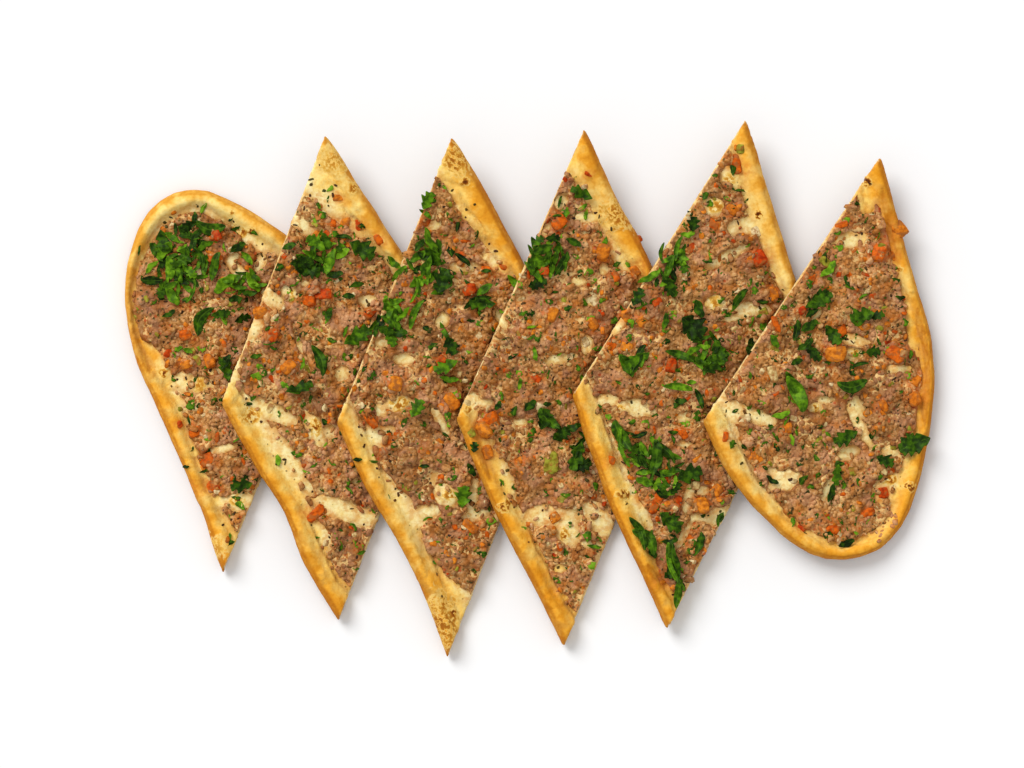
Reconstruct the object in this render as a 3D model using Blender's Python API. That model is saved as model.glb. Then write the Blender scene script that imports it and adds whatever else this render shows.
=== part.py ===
"""A ground beef pide, cut on the slant into six slices that lean on one another in a row.

A slice is a thin baked base with a raised crust along its outer sides. A crumbly layer of minced beef
with diced vegetables lies on it and reaches both of its cut faces. Chopped parsley lies on the beef, in
loose heaps and as single leaves. The first slice lies flat, and each of the others stands on its lower cut
edge and leans on the slice before it.

Units are metres and +Z is up. +X runs along the row of slices. The origin is under the middle of the row,
at the level the slices stand on.
"""

import math
import random

import bmesh
import bpy
import numpy as np
from mathutils import Euler, Matrix, Vector, noise
from mathutils.geometry import delaunay_2d_cdt

MM = 0.001

# Heights over the underside of a slice
BASE_THICK = 5.0 * MM
CRUST_HIGH = 9.2 * MM
CRUST_UNDERCUT = 1.7 * MM
CRUST_UNDERCUT_WIDE = 1.9 * MM
BEEF_PEAK = 9.0 * MM
BEEF_HOLLOW = 7.0 * MM
BEEF_RIM = 6.5 * MM
PARSLEY_LEVEL = 9.4 * MM
SLICE_PITCH = 10.1 * MM
GAP = 0.3 * MM

# The crust in section: how far in from the edge, in parts of its width, and how high, in parts of its rise
CRUST_ACROSS = (0.0, 0.2, 0.55, 1.0)
CRUST_RISE = (-0.1, 0.82, 1.0, 0.0)
CRUST_WIDEST = 9.0 * MM
CRUST_SHY_OF_BEEF = 1.0 * MM
CRUST_STEP = 8.0 * MM
CRUST_WAVER = 0.6 * MM

# How finely each layer is divided
CUT_STEP = 12.0 * MM
BASE_STEP = 17.0 * MM
BEEF_STEP = 6.0 * MM
BEEF_EDGE_STEP = 6.6 * MM
BEEF_SHY_OF_CUT = 0.5 * MM
CREASE_CLEAR = 0.6 * MM
BEEF_RAGGED = 1.4 * MM
HOLE_SIDES = 8

# Diced vegetables and parsley
DICE_SUNK = 6.2 * MM
DICE_PROUD = 10.3 * MM
CLEAR_OF_LEAVES = 15.0 * MM
LEAF_THICK = 0.7 * MM
LEAF_SIDES = 8
HEAP_THICK = 1.5 * MM
HEAP_SIDES = 9
HEAP_REACH = 0.7

# Colours, roughness
BREAD_LOOK = ((0.80, 0.56, 0.25, 1.0), 0.62)
BEEF_LOOK = ((0.33, 0.17, 0.10, 1.0), 0.55)
PARSLEY_LOOK = ((0.06, 0.22, 0.03, 1.0), 0.5)

# Places are in millimetres from the middle of the row, seen from above. Each crust runs counterclockwise,
# and the straight cuts join the ends of the crusts. The numbers in bare are the widths of crust and naked
# dough between the edge and the beef, at even steps along the crust. A hole is a bare patch within the beef:
# its middle, its two half widths and its turn in degrees. A dice is its middle, its side and its turn.
SLICES = (
    {
        "crusts": (
            ((-90, 38), (-99, 56), (-110.5, 70), (-121, 77.3), (-135, 86), (-149, 91.3), (-163, 90.3),
             (-175, 81), (-182.5, 64), (-185, 48), (-184.5, 33), (-180, 14), (-168, -14), (-152, -51),
             (-140, -85)),
        ),
        "bare": ((10, 9, 10, 9, 10, 6, 3, 5, 12, 7, 8, 16),),
        "holes": ((-151.6, 2.5, 5.5, 3.2, 20), (-123.0, 58.0, 4.5, 3.0, 60)),
        "dice": (
            (-156.6, 11.7, 6.0, 10), (-146.1, 14.0, 7.0, 40), (-157.6, 24.2, 6.0, 25),
            (-143.8, 60.0, 7.0, 15), (-141.5, 70.6, 5.5, 50), (-133.6, 41.2, 6.0, 70),
            (-132.0, -24.0, 6.5, 30),
        ),
    },
    {
        "crusts": (
            ((-140, -7), (-125, -35), (-112, -56), (-103, -79), (-86.5, -107.5)),
            ((-35, 26), (-56, 60), (-78, 94), (-92.5, 116.5)),
        ),
        "bare": ((12, 15, 13, 12, 9, 14), (9, 8, 8, 14, 22, 28)),
        "holes": ((-90.4, -20.0, 4.0, 4.5, 0), (-86.5, -56.4, 8.5, 3.6, -15), (-110.0, 44.0, 4.0, 3.0, 70)),
        "dice": (
            (-98.7, 46.2, 7.5, 10), (-91.3, 41.5, 6.5, 35), (-116.2, 25.1, 6.0, 60),
            (-109.2, 10.3, 7.5, 20), (-86.2, 16.8, 5.5, 75), (-114.0, 34.8, 6.0, 5),
            (-88.0, -72.0, 6.0, 40),
        ),
    },
    {
        "crusts": (
            ((-87, -16), (-73, -47), (-58, -72), (-45, -100), (-36.5, -124.5)),
            ((19, 17), (-1, 57), (-21, 94), (-34.5, 115.5)),
        ),
        "bare": ((10, 9, 14, 9, 15, 26), (9, 8, 8, 12, 14, 18)),
        "holes": ((-63.5, -20.0, 4.0, 2.7, 20), (-37.5, -47.1, 4.0, 3.0, 0)),
        "dice": (
            (-26.5, 45.3, 7.0, 15), (-60.5, 2.5, 7.5, 60), (-70.5, -11.0, 6.5, 30), (-27.0, -62.8, 6.5, 75),
            (-32.9, -5.3, 5.5, 5), (-34.5, 80.0, 5.0, 20),
        ),
    },
    {
        "crusts": (
            ((-32, -14), (-20, -44), (-9, -67), (6, -96), (17.6, -119.5)),
            ((74, 20), (57, 58), (38, 94), (26.6, 119.5)),
        ),
        "bare": ((8, 6, 10, 10, 8, 15), (8, 5, 9, 12, 13, 22)),
        "holes": ((6.5, -56.5, 4.8, 2.8, -10), (18.5, -66.0, 3.8, 3.0, 0)),
        "dice": (
            (14.5, 77.5, 6.5, 30), (33.5, 63.5, 7.0, 10), (47.0, 49.5, 7.0, 50), (-17.0, -16.5, 8.0, 15),
            (-12.0, -30.5, 6.5, 70), (13.8, -72.0, 5.5, 25), (2.5, 1.5, 5.5, 40),
        ),
    },
    {
        "crusts": (
            ((21, -3), (29, -28), (39, -55), (52, -83), (64.6, -111.5)),
            ((133, 22), (124, 50), (111, 91), (100.7, 124)),
        ),
        "bare": ((9, 11, 13, 10, 7, 13), (9, 8, 9, 12, 9, 13)),
        "holes": ((50.8, -7.6, 5.5, 3.2, 10), (87.0, 39.0, 4.8, 3.4, 30), (95.0, 74.0, 3.0, 4.6, 10)),
        "dice": (
            (94.0, 97.0, 7.0, 20), (104.5, 59.0, 8.0, 40), (112.0, 42.1, 6.5, 10), (66.0, 8.5, 6.0, 60),
            (66.0, -54.5, 7.5, 30), (79.5, -54.5, 6.5, 75),
        ),
    },
    {
        "crusts": (
            ((81, -15), (92, -38), (110, -60), (131, -76), (153, -78), (172, -65), (182, -40), (187, -12),
             (187, 20), (176, 59), (168, 87), (162.6, 107)),
        ),
        "bare": ((14, 10, 8, 8, 8, 7, 10, 6, 5, 6, 7, 5, 12),),
        "holes": ((100.5, -12.5, 6.0, 3.6, 10), (152.5, -9.0, 4.2, 6.5, 20), (113.5, -38.0, 4.0, 2.6, 0)),
        "dice": (
            (162.0, 75.0, 6.0, 25), (162.6, 63.7, 6.0, 60), (141.9, 17.7, 7.5, 10), (171.8, 15.4, 6.0, 40),
            (177.0, -3.0, 6.5, 80), (163.9, -48.1, 6.5, 20), (101.5, -24.0, 5.5, 55),
        ),
    },
)

# A heap is the number of its slice, its middle, its half length, half width and turn, and its leaf count
HEAPS = (
    (1, -158.5, 58.0, 20.0, 15.0, 70, 10),
    (1, -131.5, 48.0, 12.0, 6.0, 5, 4),
    (2, -92.0, 61.5, 11.0, 7.0, 20, 4),
    (3, -45.3, 59.0, 14.0, 7.0, 65, 5),
    (3, -61.9, 30.5, 9.0, 7.0, 40, 4),
    (4, 8.5, 57.5, 9.0, 7.0, 60, 4),
    (5, 67.0, 57.5, 12.0, 7.0, 55, 5),
    (5, 83.0, 17.5, 11.0, 7.0, 20, 4),
    (5, 60.0, -34.5, 14.0, 10.0, 150, 7),
)

# A single leaf is the number of its slice, its middle, its length, its width and its turn
LEAVES = (
    (1, -144.2, 76.1, 13.0, 6.0, -10),
    (1, -149.0, 31.0, 14.0, 6.0, 60),
    (1, -138.7, 8.5, 11.0, 7.0, 100),
    (1, -131.8, -44.4, 10.0, 7.0, 10),
    (2, -77.9, 24.5, 13.0, 8.0, 30),
    (2, -103.5, -1.0, 12.0, 7.0, 15),
    (2, -96.0, 13.5, 14.0, 5.0, -70),
    (3, -20.5, 40.0, 12.0, 7.0, 0),
    (3, -36.0, 9.5, 11.0, 7.0, 20),
    (3, -49.9, -9.0, 9.0, 8.0, 60),
    (3, -28.8, -49.0, 9.0, 8.0, 90),
    (4, 25.5, 90.0, 10.0, 7.0, -30),
    (4, 23.0, -30.6, 13.0, 7.0, 70),
    (4, 10.5, -14.0, 12.0, 6.0, -45),
    (5, 50.5, 12.0, 13.0, 8.0, 40),
    (5, 44.8, -21.5, 15.0, 5.0, -60),
    (5, 53.1, -71.0, 15.0, 6.0, -50),
    (5, 69.0, -82.0, 17.0, 6.0, -80),
    (6, 133.5, 41.0, 13.0, 7.0, 30),
    (6, 153.7, 33.4, 11.0, 7.0, 10),
    (6, 124.0, -1.0, 17.0, 6.0, -65),
    (6, 148.5, 3.5, 13.0, 6.0, 5),
    (6, 147.4, -22.4, 11.0, 9.0, 20),
    (6, 142.4, -40.2, 9.0, 6.0, 80),
    (6, 180.0, -26.5, 14.0, 10.0, 20),
)


def empty_scene():
    """Remove whatever the scene holds."""
    for obj in list(bpy.data.objects):
        bpy.data.objects.remove(obj, do_unlink=True)


def make_collection(name):
    """A collection of that name in the scene."""
    collection = bpy.data.collections.new(name)
    bpy.context.scene.collection.children.link(collection)
    return collection


def make_material(name, look):
    """A plain material of one colour and roughness."""
    colour, roughness = look
    material = bpy.data.materials.new(name)
    material.use_nodes = True
    material.diffuse_color = colour
    shader = material.node_tree.nodes["Principled BSDF"]
    shader.inputs["Base Color"].default_value = colour
    shader.inputs["Roughness"].default_value = roughness
    shader.inputs["Metallic"].default_value = 0.0
    return material


def smooth_line(points, step):
    """Points about a step apart on a smooth curve through the given ones, which stay its ends."""
    points = np.array(points, float)
    before = np.vstack([2 * points[0] - points[1], points[:-1]])
    after = np.vstack([points[1:], 2 * points[-1] - points[-2]])
    slopes = (after - before) / 2
    curve = [points[:1]]
    for start, end, leave, arrive in zip(points[:-1], points[1:], slopes[:-1], slopes[1:]):
        count = 12
        t = np.linspace(0, 1, count + 1)[1:, None]
        curve.append(
            (2 * t**3 - 3 * t**2 + 1) * start
            + (t**3 - 2 * t**2 + t) * leave
            + (3 * t**2 - 2 * t**3) * end
            + (t**3 - t**2) * arrive
        )
    curve = np.vstack(curve)
    length = np.concatenate([[0], np.cumsum(np.linalg.norm(np.diff(curve, axis=0), axis=1))])
    even = np.linspace(0, length[-1], 1 + round(length[-1] / step))
    return np.column_stack([np.interp(even, length, curve[:, axis]) for axis in (0, 1)])


def inward(line):
    """Unit vectors to the left of a line at each of its points."""
    along = np.gradient(line, axis=0)
    along /= np.linalg.norm(along, axis=1)[:, None]
    return np.column_stack([-along[:, 1], along[:, 0]])


def line_distance(line, points):
    """How far each point lies from a line, and where along it the nearest spot is, in points of the line."""
    start = line[:-1]
    along = line[1:] - start
    share = ((points[:, None] - start) * along).sum(-1) / (along**2).sum(-1)
    share = share.clip(0, 1)
    apart = np.linalg.norm(points[:, None] - start - share[..., None] * along, axis=-1)
    nearest = apart.argmin(axis=1)
    rows = np.arange(len(points))
    return apart[rows, nearest], nearest + share[rows, nearest]


def ring_distance(ring, points):
    """How far each point lies from a closed outline."""
    return line_distance(np.vstack([ring, ring[:1]]), points)[0]


def inside(ring, points):
    """Whether each point lies within a closed outline."""
    a = ring
    b = np.roll(ring, -1, axis=0)
    x, y = points[:, :1], points[:, 1:]
    spans = (a[:, 1] > y) != (b[:, 1] > y)
    rise = np.where(a[:, 1] == b[:, 1], 1, b[:, 1] - a[:, 1])
    crossing = a[:, 0] + (y - a[:, 1]) * (b[:, 0] - a[:, 0]) / rise
    return (spans & (x < crossing)).sum(axis=1) % 2 == 1


def keep_left(ring, start, end):
    """The part of a closed outline that lies to the left of the line from start to end."""
    along = end - start
    side = (ring[:, 1] - start[1]) * along[0] - (ring[:, 0] - start[0]) * along[1]
    kept = []
    for i, here in enumerate(side):
        following = (i + 1) % len(ring)
        there = side[following]
        if here >= 0:
            kept.append(ring[i])
        if (here > 0) != (there > 0) and here != there:
            kept.append(ring[i] + (ring[following] - ring[i]) * here / (here - there))
    return np.array(kept)


def honeycomb(ring, step, rng):
    """Points of a shaken honeycomb inside a closed outline, and which of three neighbours each one is."""
    low, high = ring.min(axis=0), ring.max(axis=0)
    row_step = step * math.sqrt(3) / 2
    points, kinds = [], []
    for row in range(1 + int((high[1] - low[1]) / row_step)):
        for column in range(1 + int((high[0] - low[0]) / step)):
            shake = (rng.uniform(-0.2, 0.2) * step, rng.uniform(-0.2, 0.2) * step)
            points.append(
                (low[0] + (column + row % 2 / 2) * step + shake[0], low[1] + row * row_step + shake[1])
            )
            kinds.append((column + row % 2 * 2) % 3)
    points, kinds = np.array(points), np.array(kinds)
    within = inside(ring, points)
    return points[within], kinds[within]


def ripple(x, y, size, seed):
    """A smooth random height from -1 to 1 at a place, for bumps of that size."""
    return noise.noise(Vector((x / size, y / size, seed)))


def lay_sheet(ring, inner, holes=(), creases=()):
    """A flat sheet of triangles over an outline, through inner points, round holes and along creases."""
    loops = [ring, *holes]
    edges, start = [], 0
    for loop in loops:
        count = len(loop)
        edges += [(start + i, start + (i + 1) % count) for i in range(count)]
        start += count
    for crease in creases:
        edges += [(start + i, start + i + 1) for i in range(len(crease) - 1)]
        start += len(crease)
    points = np.vstack([part for part in (*loops, *creases, inner) if len(part)])
    laid = delaunay_2d_cdt([Vector(p) for p in points], edges, [], 1, 1e-7)
    places = np.array([tuple(p) for p in laid[0]])
    middles = np.array([places[list(face)].mean(axis=0) for face in laid[2]])
    open_to = inside(ring, middles)
    for hole in holes:
        open_to &= ~inside(hole, middles)
    sheet = bmesh.new()
    verts = [sheet.verts.new((x, y, 0)) for x, y in places]
    for face, wanted in zip(laid[2], open_to):
        if wanted:
            sheet.faces.new([verts[i] for i in face])
    loose = [vert for vert in sheet.verts if not vert.link_faces]
    bmesh.ops.delete(sheet, geom=loose, context="VERTS")
    return sheet


def thicken(sheet, under, over):
    """Extrude a flat sheet into a closed slab whose faces are at the heights that under and over give."""
    grown = bmesh.ops.extrude_face_region(sheet, geom=sheet.faces[:])["geom"]
    upper = [item for item in grown if isinstance(item, bmesh.types.BMVert)]
    lower = list(set(sheet.verts) - set(upper))
    for verts, height in ((upper, over), (lower, under)):
        places = np.array([vert.co[:2] for vert in verts])
        for vert, z in zip(verts, height(places)):
            vert.co.z = z
    bmesh.ops.recalc_face_normals(sheet, faces=sheet.faces[:])
    return lower


def make_object(name, mesh, collection, material):
    """An object of that mesh, in the collection, in one material."""
    data = bpy.data.meshes.new(name)
    mesh.to_mesh(data)
    mesh.free()
    obj = bpy.data.objects.new(name, data)
    obj.data.materials.append(material)
    collection.objects.link(obj)
    return obj


def keep_largest(data):
    """Drop all but the largest connected surface of a mesh, so that no scrap or sealed hollow stays."""
    body = bmesh.new()
    body.from_mesh(data)
    unseen = set(body.verts)
    islands = []
    while unseen:
        island, edge_of_island = set(), [next(iter(unseen))]
        while edge_of_island:
            vert = edge_of_island.pop()
            if vert in island:
                continue
            island.add(vert)
            edge_of_island += [edge.other_vert(vert) for edge in vert.link_edges]
        unseen -= island
        islands.append(island)
    largest = max(islands, key=len)
    rest = [vert for vert in body.verts if vert not in largest]
    bmesh.ops.delete(body, geom=rest, context="VERTS")
    body.to_mesh(data)
    body.free()


def fuse(obj, pieces):
    """Join the pieces of a collection to an object as one body, and remove the collection's objects."""
    union = obj.modifiers.new("Union", "BOOLEAN")
    union.operation = "UNION"
    union.operand_type = "COLLECTION"
    union.collection = pieces
    bpy.context.view_layer.update()
    graph = bpy.context.evaluated_depsgraph_get()
    joined = bpy.data.meshes.new_from_object(obj.evaluated_get(graph))
    obj.modifiers.remove(union)
    joined.materials.clear()
    for material in obj.data.materials:
        joined.materials.append(material)
    keep_largest(joined)
    obj.data = joined
    for piece in list(pieces.objects):
        bpy.data.objects.remove(piece, do_unlink=True)
    bpy.data.collections.remove(pieces)


class Slice:
    """One slice: its outline seen from above, and the slanting plane that its underside lies in."""

    def __init__(self, number, facts):
        self.number = number
        self.rng = random.Random(100 + number)
        self.crusts = [smooth_line(np.array(line) * MM, CRUST_STEP) for line in facts["crusts"]]
        self.bare = []
        for line, widths in zip(self.crusts, facts["bare"]):
            waver = np.array([ripple(x, y, 13 * MM, number) for x, y in line]) * CRUST_WAVER
            line -= inward(line) * waver[:, None]
            stations = np.linspace(0, len(widths) - 1, len(line))
            self.bare.append(np.interp(stations, range(len(widths)), widths) * MM)
        self.feet = [np.minimum(widths - CRUST_SHY_OF_BEEF, CRUST_WIDEST) for widths in self.bare]
        self.cuts = [
            (line[-1], self.crusts[(i + 1) % len(self.crusts)][0]) for i, line in enumerate(self.crusts)
        ]
        self.outline = self.make_outline()
        self.holes = facts["holes"]
        self.dice = facts["dice"]
        self.slope = 0.0
        self.toward = np.zeros(2)
        self.floor_line = 0.0

    def make_outline(self):
        """The crusts, and between them points on the cuts, closer together where a cut crosses a crust."""
        pieces = []
        for i, line in enumerate(self.crusts):
            following = (i + 1) % len(self.crusts)
            start, end = self.cuts[i]
            length = np.linalg.norm(end - start)
            along = (end - start) / length
            before = self.crossings(line[-1] - line[-2], along, self.feet[i][-1])
            after = self.crossings(
                self.crusts[following][1] - self.crusts[following][0], along, self.feet[following][0]
            )
            between = np.arange(before[-1] + CUT_STEP, length - after[-1] - CUT_STEP / 2, CUT_STEP)
            spots = np.concatenate([before, between, length - np.array(after[::-1])])
            pieces += [line, start + spots[:, None] * along]
        return np.vstack(pieces)

    @staticmethod
    def crossings(edge, along, foot):
        """How far along a cut the steps of the crust's section lie, where the cut meets a crust edge."""
        edge = edge / np.linalg.norm(edge)
        sine = abs(edge[0] * along[1] - edge[1] * along[0])
        return [foot * part / sine for part in CRUST_ACROSS[1:]]

    def lift(self, points):
        """Height of the underside's plane at each point."""
        return self.slope * np.maximum(points @ self.toward - self.floor_line, 0)

    def lean_on(self, below):
        """Lean on the slice below, in the way that lets this slice's middle lie lowest."""
        spots, _ = honeycomb(self.outline, 4 * MM, random.Random(1))
        spots = spots[inside(below.outline, spots)]
        edge = below.outline[inside(self.outline, below.outline)]
        mine = self.outline[inside(below.outline, self.outline)]
        spots = np.vstack([spots, edge, mine])
        needed = below.lift(spots) + SLICE_PITCH
        middle = self.outline.mean(axis=0)
        lowest = math.inf
        for degrees in range(120, 200):
            angle = math.radians(degrees)
            toward = np.array([math.cos(angle), math.sin(angle)])
            floor_line = (self.outline @ toward).min()
            slope = (needed / (spots @ toward - floor_line)).max()
            height = slope * (middle @ toward - floor_line)
            if height < lowest:
                lowest = height
                self.slope, self.toward, self.floor_line = slope, toward, floor_line

    def crust_rise(self, points):
        """How much of the crust's rise there is at each point: 0 on the flat base, 1 on the crest."""
        rise = np.full(len(points), -1.0)
        for line, feet in zip(self.crusts, self.feet):
            apart, station = line_distance(line, points)
            foot = np.interp(station, range(len(feet)), feet)
            profile = np.interp(apart / foot, CRUST_ACROSS, CRUST_RISE)
            rise = np.where((apart < foot) | (rise < -0.5), profile, rise)
        return rise

    def crust_undercut(self, points):
        """How far the underside turns up under the crust's edge at each point."""
        apart = np.min([line_distance(line, points)[0] for line in self.crusts], axis=0)
        return CRUST_UNDERCUT * (1 - apart / CRUST_UNDERCUT_WIDE).clip(0, 1)


def below_next(heights, points, following):
    """The heights, lowered where the next slice lies over them."""
    if following is None:
        return heights
    return np.minimum(heights, following.lift(points) - GAP)


def make_bread(piece, following, collection, material):
    """The baked base of a slice with its raised crust."""
    creases = []
    for line, feet in zip(piece.crusts, piece.feet):
        for part in CRUST_ACROSS[1:]:
            crease = line + inward(line) * feet[:, None] * part
            clear = inside(piece.outline, crease) & (ring_distance(piece.outline, crease) > CREASE_CLEAR)
            creases.append(crease[clear])
    inner, _ = honeycomb(piece.outline, BASE_STEP, piece.rng)
    inner = inner[piece.crust_rise(inner) == 0.0]
    inner = inner[ring_distance(piece.outline, inner) > CREASE_CLEAR]

    def over(points):
        wave = np.array([1 + 0.12 * ripple(x, y, 11 * MM, piece.number) for x, y in points])
        rise = piece.crust_rise(points)
        heights = piece.lift(points) + BASE_THICK + rise * wave * (CRUST_HIGH - BASE_THICK)
        return below_next(heights, points, following)

    def under(points):
        return piece.lift(points) + piece.crust_undercut(points)

    sheet = lay_sheet(piece.outline, inner, creases=creases)
    lower = thicken(sheet, under, over)
    bottom = [face for face in sheet.faces if set(face.verts) <= set(lower)]
    around = {edge for face in bottom for edge in face.edges}
    edges = [edge for edge in around if all(face in bottom for face in edge.link_faces)]
    bmesh.ops.dissolve_limit(sheet, angle_limit=math.radians(0.3), verts=lower, edges=edges)
    return make_object(f"slice_{piece.number}_bread", sheet, collection, material)


def beef_outline(piece):
    """The ragged outline of the beef on a slice, which runs straight along the cut faces."""
    sides = []
    reach = 40 * MM
    for line, widths in zip(piece.crusts, piece.bare):
        ragged = np.array([piece.rng.uniform(0.1, 1) for _ in line]) * BEEF_RAGGED
        side = line + inward(line) * (widths + ragged)[:, None]
        before = side[0] - (line[1] - line[0]) / np.linalg.norm(line[1] - line[0]) * reach
        after = side[-1] + (line[-1] - line[-2]) / np.linalg.norm(line[-1] - line[-2]) * reach
        sides += [before, *side, after]
    ring = np.array(sides)
    for start, end in piece.cuts:
        normal = inward(np.array([start, end]))[0] * BEEF_SHY_OF_CUT
        ring = keep_left(ring, start + normal, end + normal)
    closed = np.vstack([ring, ring[:1]])
    spaced = []
    for start, end in zip(closed[:-1], closed[1:]):
        count = max(1, round(np.linalg.norm(end - start) / BEEF_EDGE_STEP))
        if np.linalg.norm(end - start) < 0.8 * MM:
            continue
        for i in range(count):
            shake = piece.rng.uniform(0, 0.7) * MM if i else 0.0
            normal = inward(np.array([start, end]))[0]
            spaced.append(start + (end - start) * i / count + normal * shake)
    return np.array(spaced)


def hole_outlines(piece, ring):
    """The outlines of the bare patches that lie well within the beef."""
    found = []
    for x, y, long, wide, turn in piece.holes:
        turns = [i + piece.rng.uniform(-0.25, 0.25) for i in range(HOLE_SIDES)]
        angles = [2 * math.pi * turn / HOLE_SIDES for turn in turns]
        loop = np.array([(long * math.cos(a), wide * math.sin(a)) for a in angles])
        loop *= np.array([piece.rng.uniform(0.85, 1.15) for _ in angles])[:, None]
        turn = math.radians(turn)
        spin = np.array([[math.cos(turn), math.sin(turn)], [-math.sin(turn), math.cos(turn)]])
        loop = (loop @ spin + (x, y)) * MM
        if inside(ring, loop).all() and ring_distance(ring, loop).min() > 1.5 * MM:
            found.append(loop)
    return found


def make_beef(piece, following, collection, material, leaves):
    """The crumbly layer of minced beef on a slice, with its bare patches and diced vegetables."""
    ring = beef_outline(piece)
    holes = hole_outlines(piece, ring)
    inner, kinds = honeycomb(ring, BEEF_STEP, piece.rng)
    clear = ring_distance(ring, inner) > 2.3 * MM
    for hole in holes:
        clear &= (ring_distance(hole, inner) > 2.0 * MM) & ~inside(hole, inner)
    inner, kinds = inner[clear], kinds[clear]
    high = {tuple(np.round(point, 6)) for point, kind in zip(inner, kinds) if kind == 0}
    rims = np.vstack([ring, *holes])

    def crumb_height(point):
        place = tuple(np.round(point, 6))
        if place in high:
            return BEEF_PEAK - piece.rng.uniform(0, 0.8) * MM
        if np.linalg.norm(rims - point, axis=1).min() > 0.1 * MM:
            return BEEF_HOLLOW + piece.rng.uniform(-0.5, 0.6) * MM
        at_cut = min(line_distance(np.array(cut), point[None])[0][0] for cut in piece.cuts) < 1.6 * MM
        low, top = (BEEF_HOLLOW, BEEF_PEAK) if at_cut else (BEEF_RIM, BEEF_HOLLOW)
        return piece.rng.uniform(low, top)

    def over(points):
        heights = piece.lift(points) + np.array([crumb_height(point) for point in points])
        return below_next(heights, points, following)

    def under(points):
        return piece.lift(points) + BASE_THICK + GAP

    sheet = lay_sheet(ring, inner, holes)
    lower = thicken(sheet, under, over)
    bottom = {face for face in sheet.faces if set(face.verts) <= set(lower)}
    edges = [edge for edge in sheet.edges if all(face in bottom for face in edge.link_faces)]
    bmesh.ops.dissolve_limit(sheet, angle_limit=math.radians(0.3), verts=lower, edges=edges)
    beef = make_object(f"slice_{piece.number}_beef", sheet, collection, material)
    add_dice(beef, piece, leaves, material)
    return beef


def add_dice(beef, piece, leaves, material):
    """Sink diced vegetables into a beef layer, standing proud of it where no parsley lies over them."""
    dice = make_collection(f"dice on slice {piece.number}")
    for x, y, side, turn in piece.dice:
        place = np.array([x, y]) * MM
        covered = min(math.dist(place, leaf) for leaf in leaves) < CLEAR_OF_LEAVES
        top = (PARSLEY_LEVEL - GAP) if covered else DICE_PROUD
        lift = piece.lift(place[None])[0]
        box = bmesh.new()
        bmesh.ops.create_cube(box, size=1.0)
        squash = Matrix.Diagonal((side * MM, side * 0.8 * MM, top - DICE_SUNK, 1.0))
        spin = Matrix.Rotation(math.radians(turn), 4, "Z")
        shift = Matrix.Translation((*place, lift + (top + DICE_SUNK) / 2))
        bmesh.ops.transform(box, matrix=shift @ spin @ squash, verts=box.verts[:])
        narrow = [vert for vert in box.verts if vert.co.z > lift + DICE_SUNK + 0.5 * MM]
        middle = Vector((*place, 0))
        for vert in narrow:
            vert.co = middle + (vert.co - middle) * Vector((0.8, 0.8, 1.0))
            vert.co.z -= piece.rng.uniform(0, 0.6) * MM
        make_object(f"dice {x} {y}", box, dice, material)
    fuse(beef, dice)


def leaf_sheet(long, wide, seed):
    """A parsley leaf's flat outline with its lobes, its stalk end at -X, and points along its rib."""
    ring = []
    for i in range(LEAF_SIDES):
        angle = 2 * math.pi * i / LEAF_SIDES
        lobe = 1 + 0.24 * math.cos(5 * angle + seed)
        ring.append((long / 2 * lobe * math.cos(angle), wide / 2 * lobe * math.sin(angle)))
    rib = [(long * x, 0.04 * wide * seed % 0.1) for x in (-0.18, 0.18)]
    return np.array(ring), np.array(rib)


def make_leaf(long, wide, seed, place, turn, slant=(0.0, 0.0)):
    """A thin wavy leaf at a place, whose faces are split into triangles alike."""
    ring, rib = leaf_sheet(long, wide, seed)
    sheet = lay_sheet(ring, rib)

    def wave(points):
        ribbed = 0.16 * np.abs(points[:, 1])
        return ribbed + 0.5 * MM * np.sin(points[:, 0] / (0.3 * long) + seed)

    flat = wave(np.array([vert.co[:2] for vert in sheet.verts])).min()
    thicken(sheet, lambda points: wave(points) - flat, lambda points: wave(points) - flat + LEAF_THICK)
    bend = Euler((slant[0], slant[1], 0.0)).to_matrix().to_4x4()
    spin = Matrix.Rotation(turn, 4, "Z")
    bmesh.ops.transform(sheet, matrix=Matrix.Translation(place) @ spin @ bend, verts=sheet.verts[:])
    return sheet


def raise_onto(sheet, piece, level):
    """Raise a leaf or heap so that its lowest point is at that level over the slanting slice."""
    places = np.array([vert.co[:2] for vert in sheet.verts])
    rests = piece.lift(places) + level
    lowest = min(vert.co.z - rest for vert, rest in zip(sheet.verts, rests))
    bmesh.ops.translate(sheet, vec=(0, 0, -lowest), verts=sheet.verts[:])


def follow_slant(sheet, piece):
    """Tip a leaf that was made level so that it lies along the slanting slice."""
    for vert in sheet.verts:
        vert.co.z += piece.lift(np.array([vert.co[:2]]))[0]


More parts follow.
